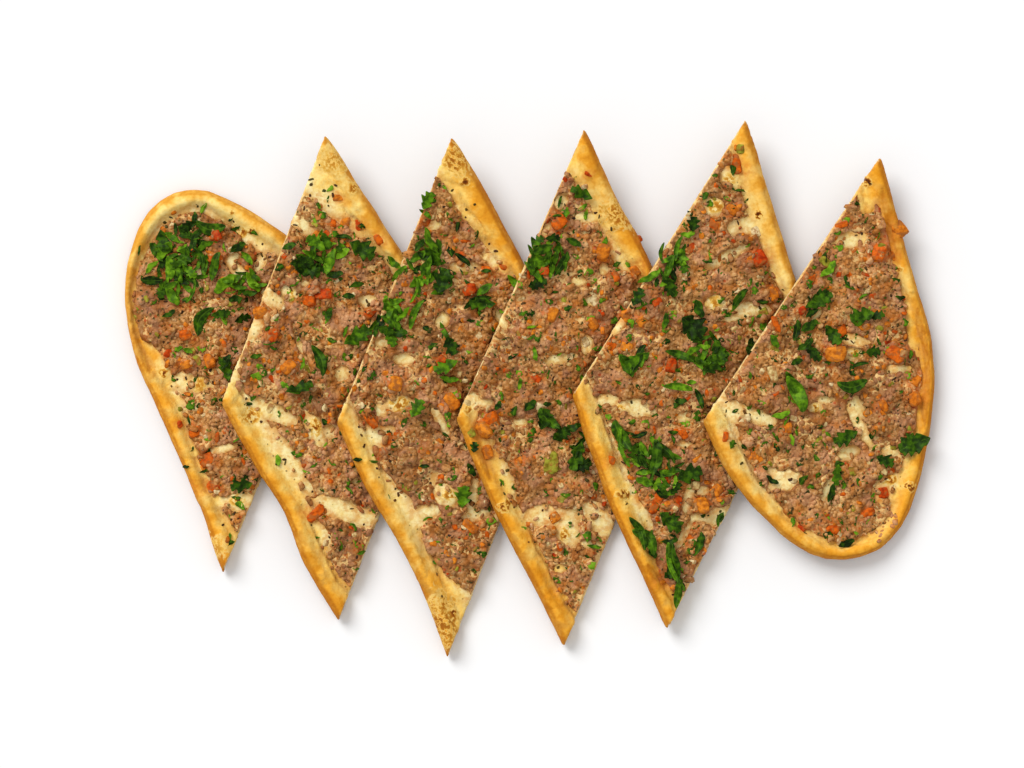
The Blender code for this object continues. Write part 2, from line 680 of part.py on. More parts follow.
def make_heap(name, facts, piece, collection, material):
    """A loose heap of chopped parsley: a low core with leaves fused to it at many angles."""
    _, x, y, long, wide, turn, count = facts
    rng = random.Random(sum(map(ord, name)) + int(x))
    turn = math.radians(turn)
    ring = []
    for i in range(HEAP_SIDES):
        angle = 2 * math.pi * i / HEAP_SIDES
        reach = rng.uniform(0.55, 0.85)
        ring.append((long * MM * reach * math.cos(angle), wide * MM * reach * math.sin(angle)))
    ring = np.array(ring)
    inner, _ = honeycomb(ring, 6 * MM, rng)
    inner = inner[ring_distance(ring, inner) > 1.5 * MM]
    core = lay_sheet(ring, inner)

    def dome(points):
        middle = 1 - (points[:, 0] / (long * MM)) ** 2 - (points[:, 1] / (wide * MM)) ** 2
        return HEAP_THICK * (0.5 + 0.6 * middle.clip(0, 1))

    thicken(core, lambda points: np.zeros(len(points)), dome)
    spin = Matrix.Rotation(turn, 4, "Z")
    shift = Matrix.Translation((x * MM, y * MM, PARSLEY_LEVEL))
    bmesh.ops.transform(core, matrix=shift @ spin, verts=core.verts[:])
    follow_slant(core, piece)
    heap = make_object(name, core, collection, material)
    pieces = make_collection(f"leaves of {name}")
    for i in range(count):
        reach = HEAP_REACH * math.sqrt((i + 0.4) / count)
        angle = i * 2.4
        spot = spin @ Vector((long * MM * reach * math.cos(angle), wide * MM * reach * math.sin(angle), 0))
        length = rng.uniform(8.5, 13.0) * MM
        width = length * rng.uniform(0.5, 0.75)
        slant = (rng.uniform(-0.25, 0.25), rng.uniform(-0.25, 0.25))
        place = (x * MM + spot.x, y * MM + spot.y, 0.0)
        leaf = make_leaf(length, width, i, place, turn + angle + rng.uniform(-0.7, 0.7), slant)
        follow_slant(leaf, piece)
        raise_onto(leaf, piece, PARSLEY_LEVEL + (0.15 + 0.1 * (i % 4)) * MM)
        make_object(f"{name} leaf {i}", leaf, pieces, material)
    fuse(heap, pieces)
    return heap


def make_single_leaf(name, facts, piece, collection, material):
    """One leaf lying by itself on a slice."""
    _, x, y, long, wide, turn = facts
    leaf = make_leaf(long * MM, wide * MM, len(name) + turn, (x * MM, y * MM, 0), math.radians(turn))
    follow_slant(leaf, piece)
    raise_onto(leaf, piece, PARSLEY_LEVEL)
    return make_object(name, leaf, collection, material)


def centre_row(collection):
    """Shift every piece so that the row's middle, at its lowest level, is the origin."""
    corners = np.array([vert.co[:] for obj in collection.objects for vert in obj.data.vertices])
    middle = (corners.min(axis=0) + corners.max(axis=0)) / 2
    shift = Matrix.Translation((-middle[0], -middle[1], -corners[:, 2].min()))
    for obj in collection.objects:
        obj.data.transform(shift)


def main():
    """Build the six slices and what lies on them."""
    empty_scene()
    collection = make_collection("ground beef pide")
    bread = make_material("baked dough", BREAD_LOOK)
    beef = make_material("minced beef", BEEF_LOOK)
    parsley = make_material("parsley", PARSLEY_LOOK)
    slices = [Slice(i + 1, facts) for i, facts in enumerate(SLICES)]
    for below, piece in zip(slices, slices[1:]):
        piece.lean_on(below)
    greens = [(x * MM, y * MM) for _, x, y, *_ in HEAPS + LEAVES]
    for piece, following in zip(slices, [*slices[1:], None]):
        make_bread(piece, following, collection, bread)
        make_beef(piece, following, collection, beef, greens)
    for kind, table, build in (("parsley", HEAPS, make_heap), ("leaf", LEAVES, make_single_leaf)):
        counts = {}
        for facts in table:
            number = facts[0]
            counts[number] = counts.get(number, 0) + 1
            name = f"slice_{number}_{kind}_{counts[number]}"
            build(name, facts, slices[number - 1], collection, parsley)
    centre_row(collection)


main()
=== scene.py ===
"""The looks of a ground beef pide, cut into six slices that lean on one another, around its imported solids.

Each slice gets a fine dough, a crumbly layer of mince with loose crumbs, diced vegetables and bits of them,
chopped parsley and dark herbs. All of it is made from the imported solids, in metres, in their frame.
"""

import logging
import math
import random
from collections.abc import Iterable, Iterator
from contextlib import contextmanager
from dataclasses import dataclass, field
from enum import Enum
from functools import reduce
from typing import Self

import bpy
import numpy as np
from bpy.types import Material, NodeSocket, Object
from mathutils import Matrix, Vector
from mathutils.bvhtree import BVHTree


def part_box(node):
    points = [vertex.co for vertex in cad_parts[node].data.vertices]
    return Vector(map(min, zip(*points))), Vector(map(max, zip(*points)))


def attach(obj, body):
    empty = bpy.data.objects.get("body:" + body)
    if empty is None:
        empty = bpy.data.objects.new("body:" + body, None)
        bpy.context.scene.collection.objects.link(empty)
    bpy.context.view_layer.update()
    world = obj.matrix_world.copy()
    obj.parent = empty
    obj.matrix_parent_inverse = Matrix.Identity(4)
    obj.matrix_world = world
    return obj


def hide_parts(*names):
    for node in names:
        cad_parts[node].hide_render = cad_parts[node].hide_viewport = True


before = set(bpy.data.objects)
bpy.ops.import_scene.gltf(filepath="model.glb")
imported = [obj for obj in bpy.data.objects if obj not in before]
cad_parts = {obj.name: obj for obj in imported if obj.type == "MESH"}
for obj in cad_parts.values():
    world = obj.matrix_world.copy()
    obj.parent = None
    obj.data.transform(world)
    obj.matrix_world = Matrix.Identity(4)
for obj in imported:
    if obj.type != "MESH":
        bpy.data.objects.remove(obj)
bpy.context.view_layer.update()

log = logging.getLogger("pide")

# Colours by their place on a run from 0 to 1
Stops = tuple[tuple[float, str], ...]

# The name or the number of a node's socket
Key = int | str

# Where something lands: the point, the direction it faces and the number of its surface
Landing = tuple[Vector, Vector, int]

MM = 0.001
BODY = "root"
SLICE_COUNT = 6
WHITE = "FFFFFF"
UP = Vector((0, 0, 1))
DOWN = Vector((0, 0, -1))

# The photo's picture plane at the height of the food: its width, and where its middle lies
VIEW_WIDTH = 471.04 * MM
VIEW_MIDDLE = (-8.13 * MM, 2.31 * MM)
VIEW_LEVEL = 14.0 * MM
CAMERA_HEIGHT = 2.6
SENSOR_WIDTH = 36.0

# How far small things stay from the crust's edge, from a cut, and from the edge where the mince spilt
INSIDE_CRUST = 5.0 * MM
INSIDE_CUT = 1.3 * MM
INSIDE_SPILT = 1.3 * MM

# How far scattered places are shaken, as a share of their step, and the height that things are let down from
SHAKE = 0.35
DROP_FROM = 0.1

# How high a single leaf is held up by the crumbs under it, and what share of its tint a small one keeps
SINGLE_LIFT = 0.8 * MM
SINGLE_SHADE = 0.7

# How much the colours of diced vegetables of one kind differ
TINT_SPREAD = 0.05

# The turn from one leaf of a heap to the next, in radians, which spreads them evenly
GOLDEN_TURN = 2.4

# Where the row's middle lies on the plan that the places of things are read from
ROW_MIDDLE = np.array([1.46, -0.25]) * MM


class Slot(Enum):
    """The record's slots that the pieces take their finish from."""

    BREAD = "bread"
    BEEF = "beef"
    PARSLEY = "parsley"


class Kind(Enum):
    """What a diced piece is, with its place on the vegetables' range of colours."""

    TOMATO = 0.95
    RED_PEPPER = 0.75
    CARROT = 0.45
    GREEN_PEPPER = 0.2
    ONION = 0.02


def colour(code: str) -> tuple[float, float, float, float]:
    """A colour as the linear values that a shader takes.

    Args:
        code: red, green and blue, two hexadecimal digits each.

    Returns:
        The linear red, green, blue and an alpha of 1.
    """
    parts = [int(code[i : i + 2], 16) / 255 for i in (0, 2, 4)]
    linear = [part / 12.92 if part <= 0.04045 else ((part + 0.055) / 1.055) ** 2.4 for part in parts]
    return (*linear, 1.0)


def lattice_random(cells: np.ndarray, seed: int) -> np.ndarray:
    """A random number from 0 to 1 for each cell of an endless lattice, the same in each run.

    Args:
        cells: whole numbers, three to a cell.
        seed: picks one lattice out of many.

    Returns:
        One number for each cell.
    """
    mixed = (cells * np.array([73856093, 19349663, 83492791])).sum(axis=-1) + seed * 374761393
    mixed = (mixed ^ (mixed >> 13)) * 1274126177
    mixed ^= mixed >> 16
    return (mixed & 0xFFFFFF) / 0xFFFFFF


@dataclass(frozen=True)
class Waves:
    """A smooth random relief, with finer bumps laid over coarse ones.

    Attributes:
        size: how far apart the coarse bumps are.
        octaves: how many sizes of bump there are, each half the one before.
        seed: picks one relief out of many.
    """

    size: float
    octaves: int
    seed: int

    def at(self, points: np.ndarray) -> np.ndarray:
        """The relief at each point.

        Args:
            points: places in space, one to a row.

        Returns:
            One height for each, from -1 to 1.
        """
        total = np.zeros(len(points))
        for octave in range(self.octaves):
            places = points / self.size * 2**octave
            cells = np.floor(places).astype(np.int64)
            share = places - cells
            share = share * share * (3 - 2 * share)
            for corner in np.ndindex(2, 2, 2):
                weight = np.where(corner, share, 1 - share).prod(axis=1)
                total += weight * (2 * lattice_random(cells + corner, self.seed + octave) - 1) / 2**octave
        return total / (2 - 0.5 ** (self.octaves - 1))


@dataclass(frozen=True)
class Granules:
    """Rounded granules packed side by side.

    Attributes:
        size: how far apart their middles are.
        seed: picks one packing out of many.
    """

    size: float
    seed: int

    def at(self, points: np.ndarray) -> tuple[np.ndarray, np.ndarray]:
        """How near each point is to a granule's middle, and that granule's own random number.

        Args:
            points: places in space, one to a row.

        Returns:
            The nearness, 1 in the middle and 0 at the rim, and the numbers, from 0 to 1.
        """
        places = points / self.size
        cells = np.floor(places).astype(np.int64)
        nearest = np.full(len(points), np.inf)
        number = np.zeros(len(points))
        for step in np.ndindex(3, 3, 3):
            around = cells + np.array(step) - 1
            shake = np.column_stack([lattice_random(around, self.seed + axis) for axis in range(3)])
            apart = np.linalg.norm(places - around - shake, axis=1)
            closer = apart < nearest
            nearest[closer] = apart[closer]
            number[closer] = lattice_random(around[closer], self.seed + 3)
        return (1 - nearest).clip(0, 1), number


# The ragged rims of the naked places, each relief with its strength, and of the blisters
RAGS = ((0.45, Waves(5 * MM, 3, 11)), (0.2, Waves(1.8 * MM, 2, 12)))
BLISTER_RIM = Waves(3.2 * MM, 3, 21)


def select_only(obj: Object) -> None:
    """Select this object alone and make it the active one.

    Args:
        obj: the object that the next operator works on.
    """
    bpy.ops.object.select_all(action="DESELECT")
    obj.select_set(True)
    bpy.context.view_layer.objects.active = obj


@contextmanager
def editing() -> Iterator[None]:
    """Work on the whole mesh of the active object in edit mode, and leave that mode afterwards."""
    bpy.ops.object.mode_set(mode="EDIT")
    bpy.ops.mesh.select_all(action="SELECT")
    yield
    bpy.ops.object.mode_set(mode="OBJECT")


def finish_with(obj: Object, kind: str, **settings: float | str) -> None:
    """Add a modifier to an object and apply it.

    Args:
        obj: the object.
        kind: the modifier's type.
        **settings: the modifier's values by name.
    """
    select_only(obj)
    modifier = obj.modifiers.new(kind.title(), kind)
    for name, value in settings.items():
        setattr(modifier, name, value)
    bpy.ops.object.modifier_apply(modifier=modifier.name)


def corners_of(obj: Object) -> np.ndarray:
    """The corners of an object's mesh.

    Args:
        obj: the object.

    Returns:
        One corner to a row.
    """
    flat = np.empty(len(obj.data.vertices) * 3)
    obj.data.vertices.foreach_get("co", flat)
    return flat.reshape(-1, 3)


def normals_of(obj: Object) -> np.ndarray:
    """The directions that an object's surface faces at its corners.

    Args:
        obj: the object.

    Returns:
        One direction to a row.
    """
    flat = np.empty(len(obj.data.vertices) * 3)
    obj.data.vertex_normals.foreach_get("vector", flat)
    return flat.reshape(-1, 3)


def move_corners(obj: Object, places: np.ndarray) -> None:
    """Put the corners of an object's mesh in new places, one to a row."""
    obj.data.vertices.foreach_set("co", places.ravel())
    obj.data.update()


def mark(obj: Object, **marks: np.ndarray) -> None:
    """Store numbers at the corners of a mesh, for its material to read.

    Args:
        obj: the object.
        **marks: one number for each corner, by what the material calls them.
    """
    for name, values in marks.items():
        attribute = obj.data.attributes.new(name, "FLOAT", "POINT")
        attribute.data.foreach_set("value", np.asarray(values, np.float32))


def copy_of_node(node: str, name: str) -> Object:
    """A new object with a CAD node's shape, its loose triangles merged.

    Args:
        node: the CAD node's name.
        name: the new object's name.

    Returns:
        The new object, with no material.
    """
    obj = bpy.data.objects.new(name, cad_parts[node].data.copy())
    obj.data.name = name
    obj.data.materials.clear()
    bpy.context.scene.collection.objects.link(obj)
    select_only(obj)
    with editing():
        bpy.ops.mesh.remove_doubles(threshold=0.01 * MM)
    return obj


def tree_of(obj: Object) -> BVHTree:
    """A search tree of an object's surface."""
    return BVHTree.FromObject(obj, bpy.context.evaluated_depsgraph_get())


def dress(obj: Object, material: Material, slot: Slot, *nodes: str) -> None:
    """Give a finished piece its material and its body, and hide the CAD nodes that it stands for.

    Args:
        obj: the piece.
        material: its finish.
        slot: the record's slot; not used.
        *nodes: the CAD nodes that it replaces.
    """
    obj.data.materials.clear()
    obj.data.materials.append(material)
    select_only(obj)
    bpy.ops.object.shade_smooth()
    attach(obj, BODY)
    if nodes:
        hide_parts(*nodes)
    log.info("%s: %d faces, stands for %d nodes", obj.name, len(obj.data.polygons), len(nodes))


class Recipe:
    """A material in the making, with short ways to add its nodes.

    Attributes:
        material: the material.
        nodes: its nodes.
        shader: the main one of them.
        place: where a point is, for patterns.
    """

    def __init__(self, name: str, roughness: float, shine: float = 0.3) -> None:
        """Start a material.

        Args:
            name: the material's name.
            roughness: the shader's own roughness, until a pattern is linked to it.
            shine: how strongly it reflects.
        """
        self.material = bpy.data.materials.new(name)
        self.material.use_nodes = True
        self.nodes = self.material.node_tree.nodes
        self.shader = self.nodes["Principled BSDF"]
        self.shader.inputs["Roughness"].default_value = roughness
        self.shader.inputs["Specular IOR Level"].default_value = shine
        self.place = self.nodes.new("ShaderNodeTexCoord").outputs["Object"]

    def link(self, source: NodeSocket, target: NodeSocket) -> None:
        """Lead one socket's value to another."""
        self.material.node_tree.links.new(source, target)

    def add(self, kind: str, output: Key, inputs: dict[Key, object], **settings: str | bool) -> NodeSocket:
        """Add a node.

        Args:
            kind: its type, without the words that all types begin with.
            output: the wanted one of its outputs.
            inputs: a socket, a number or a colour for each input that isn't left alone.
            **settings: its own values by name.

        Returns:
            The socket of the wanted output.
        """
        node = self.nodes.new("ShaderNode" + kind)
        for name, value in settings.items():
            setattr(node, name, value)
        for name, value in inputs.items():
            if isinstance(value, NodeSocket):
                self.link(value, node.inputs[name])
            else:
                node.inputs[name].default_value = value
        return node.outputs[output]

    def noise(self, size: float, detail: float) -> NodeSocket:
        """A cloudy pattern, about 0.5 on average, with clouds of a size in millimetres and finer detail."""
        return self.add("TexNoise", "Fac", {"Vector": self.place, "Scale": 1 / (size * MM), "Detail": detail})

    def cells(self, size: float) -> tuple[NodeSocket, NodeSocket]:
        """The distance from the middles of cells of a size in millimetres, and each cell's random number."""
        apart = self.add("TexVoronoi", "Distance", {"Vector": self.place, "Scale": 1 / (size * MM)})
        return apart, self.add("SeparateColor", 0, {0: apart.node.outputs["Color"]})

    def read(self, name: str) -> NodeSocket:
        """The numbers that a piece carries at its corners under that name."""
        return self.add("Attribute", "Fac", {}, attribute_name=name)

    def calc(self, operation: str, *values: NodeSocket | float) -> NodeSocket:
        """The result of a sum on two sockets or numbers, kept from 0 to 1."""
        return self.add("Math", 0, dict(enumerate(values)), operation=operation, use_clamp=True)

    def plus(self, first: NodeSocket, second: NodeSocket | float) -> NodeSocket:
        """The sum of two values, kept from 0 to 1."""
        return self.calc("ADD", first, second)

    def minus(self, first: NodeSocket, second: float) -> NodeSocket:
        """What is left of a value after a number is taken away, kept from 0 to 1."""
        return self.calc("SUBTRACT", first, second)

    def times(self, *values: NodeSocket | float) -> NodeSocket:
        """Sockets and numbers multiplied, kept from 0 to 1."""
        return reduce(lambda total, value: self.calc("MULTIPLY", total, value), values)

    def between(self, value: NodeSocket, low: float, high: float) -> NodeSocket:
        """How far a value has come, from 0 to 1, on its way from low to high, which may be the lesser one."""
        inputs = {"Value": value, "From Min": low, "From Max": high}
        return self.add("MapRange", "Result", inputs, interpolation_type="SMOOTHSTEP")

    def cloud(self, size: float, detail: float, low: float, high: float) -> NodeSocket:
        """How far a cloudy pattern has come from low to high."""
        return self.between(self.noise(size, detail), low, high)

    def ramp(self, share: NodeSocket, stops: Stops) -> NodeSocket:
        """A colour that runs through several ones.

        Args:
            share: the socket of how far along the run a point is.
            stops: the places on the run and their colours.

        Returns:
            The socket of the colour.
        """
        run = self.add("ValToRGB", "Color", {"Fac": share})
        points = run.node.color_ramp.elements
        for place, _ in stops[2:]:
            points.new(place)
        for point, (place, code) in zip(points, stops):
            point.position = place
            point.color = colour(code)
        return run

    def mix(self, share: NodeSocket | float, under: NodeSocket | str, over: NodeSocket | str,
            how: str = "MIX") -> NodeSocket:
        """One colour laid over another, each a socket or a code, by a share and in a way of mixing."""
        below, above = (colour(code) if isinstance(code, str) else code for code in (under, over))
        return self.add("Mix", 2, {"Factor": share, 6: below, 7: above}, data_type="RGBA", blend_type=how)

    def lay(self, under: NodeSocket, over: NodeSocket | str, *shares: NodeSocket | float) -> NodeSocket:
        """A colour laid over another as strongly as some shares multiplied."""
        return self.mix(self.times(*shares), under, over)

    def dapple(self, base: NodeSocket, code: str, share: float, cloud: NodeSocket) -> NodeSocket:
        """A colour that another one darkens, by a share, where a cloud is thin."""
        return self.mix(share, base, self.mix(cloud, code, WHITE), "MULTIPLY")

    def bump(self, size: float, detail: float, depth: float) -> None:
        """Let a cloudy pattern stand out from the surface by up to a depth in millimetres."""
        inputs = {"Strength": 1.0, "Distance": depth * MM, "Height": self.noise(size, detail)}
        self.link(self.add("Bump", "Normal", inputs), self.shader.inputs["Normal"])

    def done(self, base: NodeSocket, roughness: NodeSocket | None = None) -> Material:
        """Lead the colour and the roughness to the shader.

        Args:
            base: the socket of the colour.
            roughness: the socket of the roughness, where it isn't the same all over.

        Returns:
            The finished material.
        """
        self.link(base, self.shader.inputs["Base Color"])
        if roughness is not None:
            self.link(roughness, self.shader.inputs["Roughness"])
        return self.material


@dataclass(frozen=True)
class DoughFinish:
    """Baked dough: browned at its edge, golden on the crust, cream inside and pale where it was cut.

    Attributes:
        crust: the colours inwards from the crust's edge, over crust_width, where it is baked well.
        pale: the same where it is baked little.
        crust_width: how far in the browning reaches.
        golden: what toasts the crust in patches.
        scorch: the brown of its edge and of patches there.
        cream: the naked dough's palest colour.
        blot: the darker blots of the naked dough.
        oily: the dough's colour beside the beef.
        stained: the colour beside the diced vegetables.
        fold: painted shade, the brown that darkens the crease inside the crust.
        toast: the colours of blisters and tips, by how far they are toasted.
        speck: the colour of its fine specks.
        mottle: what darkens it in small clouds.
        crumb: the cut face's pores, its own colour and what was smeared on it.
        underside: the baked underside's two browns, kept dark so that the downward-facing crust wall also
            carries painted shade along the crust's lower edge.
    """

    crust: Stops = (
        (0.0, "E0901A"), (0.14, "F6AA24"), (0.32, "FDBE44"),
        (0.52, "FFD466"), (0.75, "FFE28C"), (1.0, "FFE8A4"),
    )
    pale: Stops = ((0.0, "E6A63A"), (0.14, "F8C45C"), (0.36, "FFE088"), (1.0, "FFEDB0"))
    crust_width: float = 12.0 * MM
    golden: str = "EE9C1C"
    scorch: str = "A65C14"
    cream: str = "FFF3B8"
    blot: str = "E4A854"
    oily: str = "DCA050"
    stained: str = "E08A30"
    # Painted shade: the brown laid along the crease inside the crust, where shade falls
    fold: str = "B07C34"
    toast: Stops = (
        (0.0, "FFE9A8"), (0.3, "F8D680"), (0.5, "E9B650"),
        (0.66, "C8862A"), (0.82, "985418"), (1.0, "5A2C0C"),
    )
    speck: str = "6B4A16"
    mottle: str = "EEDAA8"
    crumb: tuple[str, str, str] = ("D8AE68", "F8E2AE", "A86A30")
    # Baked brown of the underside, darkened beyond that to paint the shade along the crust's lower edge
    underside: tuple[str, str] = ("B07A36", "744214")

    def build(self) -> Material:
        """Make the material.

        Returns:
            The material, which reads rim, bake, toast, oil, stain, fold, cut and under from its piece.
        """
        recipe = Recipe("baked dough", 0.7, 0.06)
        cloud, between, times, lay, read = recipe.cloud, recipe.between, recipe.times, recipe.lay, recipe.read
        rim = recipe.minus(recipe.plus(read("rim"), times(cloud(8, 4, 0.3, 0.7), 0.36)), 0.16)
        bake = recipe.minus(recipe.plus(read("bake"), times(recipe.noise(6, 4), 0.8)), 0.4)
        bake = between(bake, 0.15, 0.85)
        top = recipe.mix(bake, recipe.ramp(rim, self.pale), recipe.ramp(rim, self.crust))
        top = lay(top, self.golden, between(rim, 0.7, 0.2), cloud(14, 4, 0.45, 0.68), bake, 0.8)
        low = times(between(read("rim"), 0.3, 0.0), bake, cloud(8, 4, 0.52, 0.64))
        edge = times(between(read("rim"), 0.08, 0.0), recipe.plus(times(bake, 0.7), 0.3))
        top = lay(top, self.scorch, recipe.calc("MAXIMUM", low, edge), 0.75)
        top = lay(top, self.cream, between(rim, 0.6, 1.0), cloud(4, 4, 0.36, 0.58))
        top = lay(top, self.blot, between(rim, 0.5, 0.9), cloud(3, 4, 0.5, 0.64), 0.65)
        top = lay(top, self.oily, read("oil"), cloud(3.4, 4, 0.32, 0.56), 0.75)
        top = lay(top, self.stained, read("stain"), cloud(2, 4, 0.3, 0.6), 0.7)
        # Painted shade along the crease inside the crust
        top = lay(top, self.fold, read("fold"), cloud(5, 3, 0.35, 0.6), 0.6)
        toast = times(read("toast"), cloud(1.7, 4, 0.3, 0.58))
        top = lay(top, recipe.ramp(toast, self.toast), between(toast, 0.1, 0.42))
        apart, number = recipe.cells(3)
        speck = times(between(apart, 0.2, 0.1), between(number, 0.6, 0.65))
        top = lay(top, self.speck, speck, between(rim, 0.3, 0.6), 0.7)
        top = recipe.dapple(top, self.mottle, 0.6, cloud(1.6, 4, 0.3, 0.6))
        # The baked underside's brown, which is also painted shade on the downward-facing crust wall
        top = lay(top, recipe.mix(cloud(12, 4, 0.35, 0.65), *self.underside), read("under"))
        crumb = recipe.mix(cloud(1.2, 3, 0.3, 0.6), *self.crumb[:2])
        crumb = lay(crumb, self.crumb[2], cloud(6, 4, 0.5, 0.62), 0.7)
        recipe.bump(1.1, 5, 0.25)
        return recipe.done(lay(top, crumb, read("cut")))


@dataclass(frozen=True)
class MinceFinish:
    """Cooked mince: pressed granules of several browns, with painted shade in the hollows between them, and
    fine specks.

    Attributes:
        granules: the colours of the granules by their own random number.
        rosy: the tint of some larger patches.
        warm: the tint of others.
        shade: what darkens it in broad clouds.
        painted_hollow_shade: the painted shade, a dark brown, that darkens the hollows between granules.
        pulp: the two colours of the soft vegetables and dough between the clumps.
        stained: the colour beside the diced vegetables.
        browned: the colour at the edges of the clumps.
        specks: the size in millimetres, the colour and the rarity of each kind of speck.
    """

    granules: Stops = ((0.0, "74401A"), (0.22, "A06A30"), (0.46, "C48A4A"), (0.72, "D8A264"), (1.0, "EAC68E"))
    rosy: str = "CE9474"
    warm: str = "C4701C"
    shade: str = "D2C8C0"
    # Painted shade: the dark brown laid into the hollows between granules, where shade falls
    painted_hollow_shade: str = "603410"
    pulp: tuple[str, str] = ("C07228", "F4CC84")
    stained: str = "CC661C"
    browned: str = "7C3E12"
    specks: tuple[tuple[float, str, float], ...] = (
        (1.9, "3E4A0C", 0.84), (2.3, "B04410", 0.88), (1.7, "24140A", 0.87),
    )

    def build(self) -> Material:
        """Make the material.

        Returns:
            The material, which reads grain, relief, edge, bare and stain from its piece.
        """
        recipe = Recipe("cooked mince", 0.5, 0.16)
        cloud, between, times, lay, read = recipe.cloud, recipe.between, recipe.times, recipe.lay, recipe.read
        grain = recipe.plus(times(read("grain"), 0.4), times(cloud(1.5, 5, 0.28, 0.72), 0.6))
        base = recipe.ramp(grain, self.granules)
        base = lay(base, self.rosy, cloud(9, 3, 0.46, 0.6), 0.45)
        base = lay(base, self.warm, cloud(6, 4, 0.5, 0.62), 0.6)
        base = recipe.dapple(base, self.shade, 1.0, cloud(22, 3, 0.35, 0.65))
        # Painted shade in the hollows, darkest where the relief is lowest
        base = lay(base, self.painted_hollow_shade, between(read("relief"), 0.5, 0.0), 0.85)
        loose = recipe.plus(recipe.noise(2.5, 4), times(read("bare"), 0.5))
        pulp = recipe.mix(cloud(1.8, 4, 0.36, 0.58), *self.pulp)
        base = lay(base, pulp, between(loose, 0.62, 0.82), 0.85)
        base = lay(base, self.stained, read("stain"), cloud(2, 4, 0.3, 0.6), 0.75)
        base = lay(base, self.browned, read("edge"), cloud(3, 4, 0.42, 0.62), 0.8)
        for size, code, rare in self.specks:
            apart, number = recipe.cells(size)
            base = lay(base, code, between(apart, 0.4, 0.25), between(number, rare, rare + 0.02), 0.75)
        recipe.bump(0.8, 4, 0.35)
        return recipe.done(base, cloud(2.5, 2, 0.0, 1.2))


@dataclass(frozen=True)
class VegetableFinish:
    """Soft diced vegetables, whose colour runs from onion white over peppers and carrot to tomato.

    Attributes:
        kinds: the colours by their place on the range.
        shade: what darkens them in small clouds.
        charred: the colour of corners that caught the heat.
    """

    kinds: Stops = (
        (0.0, "ECD6A2"), (0.08, "E0C27C"), (0.16, "A8A438"), (0.26, "98982A"), (0.38, "E88E26"),
        (0.55, "DE761A"), (0.72, "E06A12"), (0.9, "D4560C"), (1.0, "C63E06"),
    )
    shade: str = "B09468"
    charred: str = "A0602C"

    def build(self) -> Material:
        """Make the material.

        Returns:
            The material, which reads tint from its piece.
        """
        recipe = Recipe("diced vegetables", 0.45, 0.08)
        base = recipe.ramp(recipe.read("tint"), self.kinds)
        base = recipe.dapple(base, self.shade, 0.9, recipe.cloud(2, 4, 0.3, 0.65))
        base = recipe.lay(base, self.charred, recipe.cloud(2.4, 4, 0.48, 0.62), 0.75)
        recipe.bump(1.2, 4, 0.4)
        return recipe.done(base)


@dataclass(frozen=True)
class LeafFinish:
    """Fresh parsley, each piece with its own green and paler along its rib.

    Attributes:
        greens: the colours by a leaf's own number.
        rib: the colour along the middle.
    """

    greens: Stops = (
        (0.0, "101E02"), (0.22, "203A04"), (0.45, "3C5E06"),
        (0.66, "5A840C"), (0.85, "7EA81E"), (1.0, "A8C83C"),
    )
    rib: str = "6E9A28"

    def build(self) -> Material:
        """Make the material.

        Returns:
            The material, which reads tint and rib from its piece.
        """
        recipe = Recipe("parsley", 0.5, 0.08)
        tint = recipe.plus(recipe.read("tint"), recipe.times(recipe.cloud(2.4, 4, 0.3, 0.7), 0.4))
        base = recipe.ramp(recipe.minus(tint, 0.2), self.greens)
        base = recipe.lay(base, self.rib, recipe.between(recipe.read("rib"), 0.8, 1.0), 0.35)
        recipe.bump(1.2, 4, 0.25)
        return recipe.done(base)


@dataclass(frozen=True)
class CharFinish:
    """Herbs and pepper that baked dark.

    Attributes:
        darks: the colours by a speck's own number.
        shade: what darkens them in small clouds.
    """

    darks: Stops = ((0.0, "3A2008"), (0.4, "5A340E"), (0.7, "4A4C10"), (1.0, "804A16"))
    shade: str = "909090"

    def build(self) -> Material:
        """Make the material.

        Returns:
            The material, which reads tint from its piece.
        """
        recipe = Recipe("baked herbs", 0.5, 0.2)
        base = recipe.ramp(recipe.read("tint"), self.darks)
        recipe.bump(0.6, 2, 0.1)
        return recipe.done(recipe.dapple(base, self.shade, 0.7, recipe.noise(0.8, 2)))


@dataclass(frozen=True)
class TableFinish:
    """The pale matt ground that the slices stand on.

    Attributes:
        pale: its two near whites.
        size: how large its clouds are, in millimetres.
    """

    pale: tuple[str, str] = ("F7F7F7", "FAFAFA")
    size: float = 200.0

    def build(self) -> Material:
        """Make the material."""
        recipe = Recipe("pale ground", 0.8)
        return recipe.done(recipe.mix(recipe.noise(self.size, 2), *self.pale))


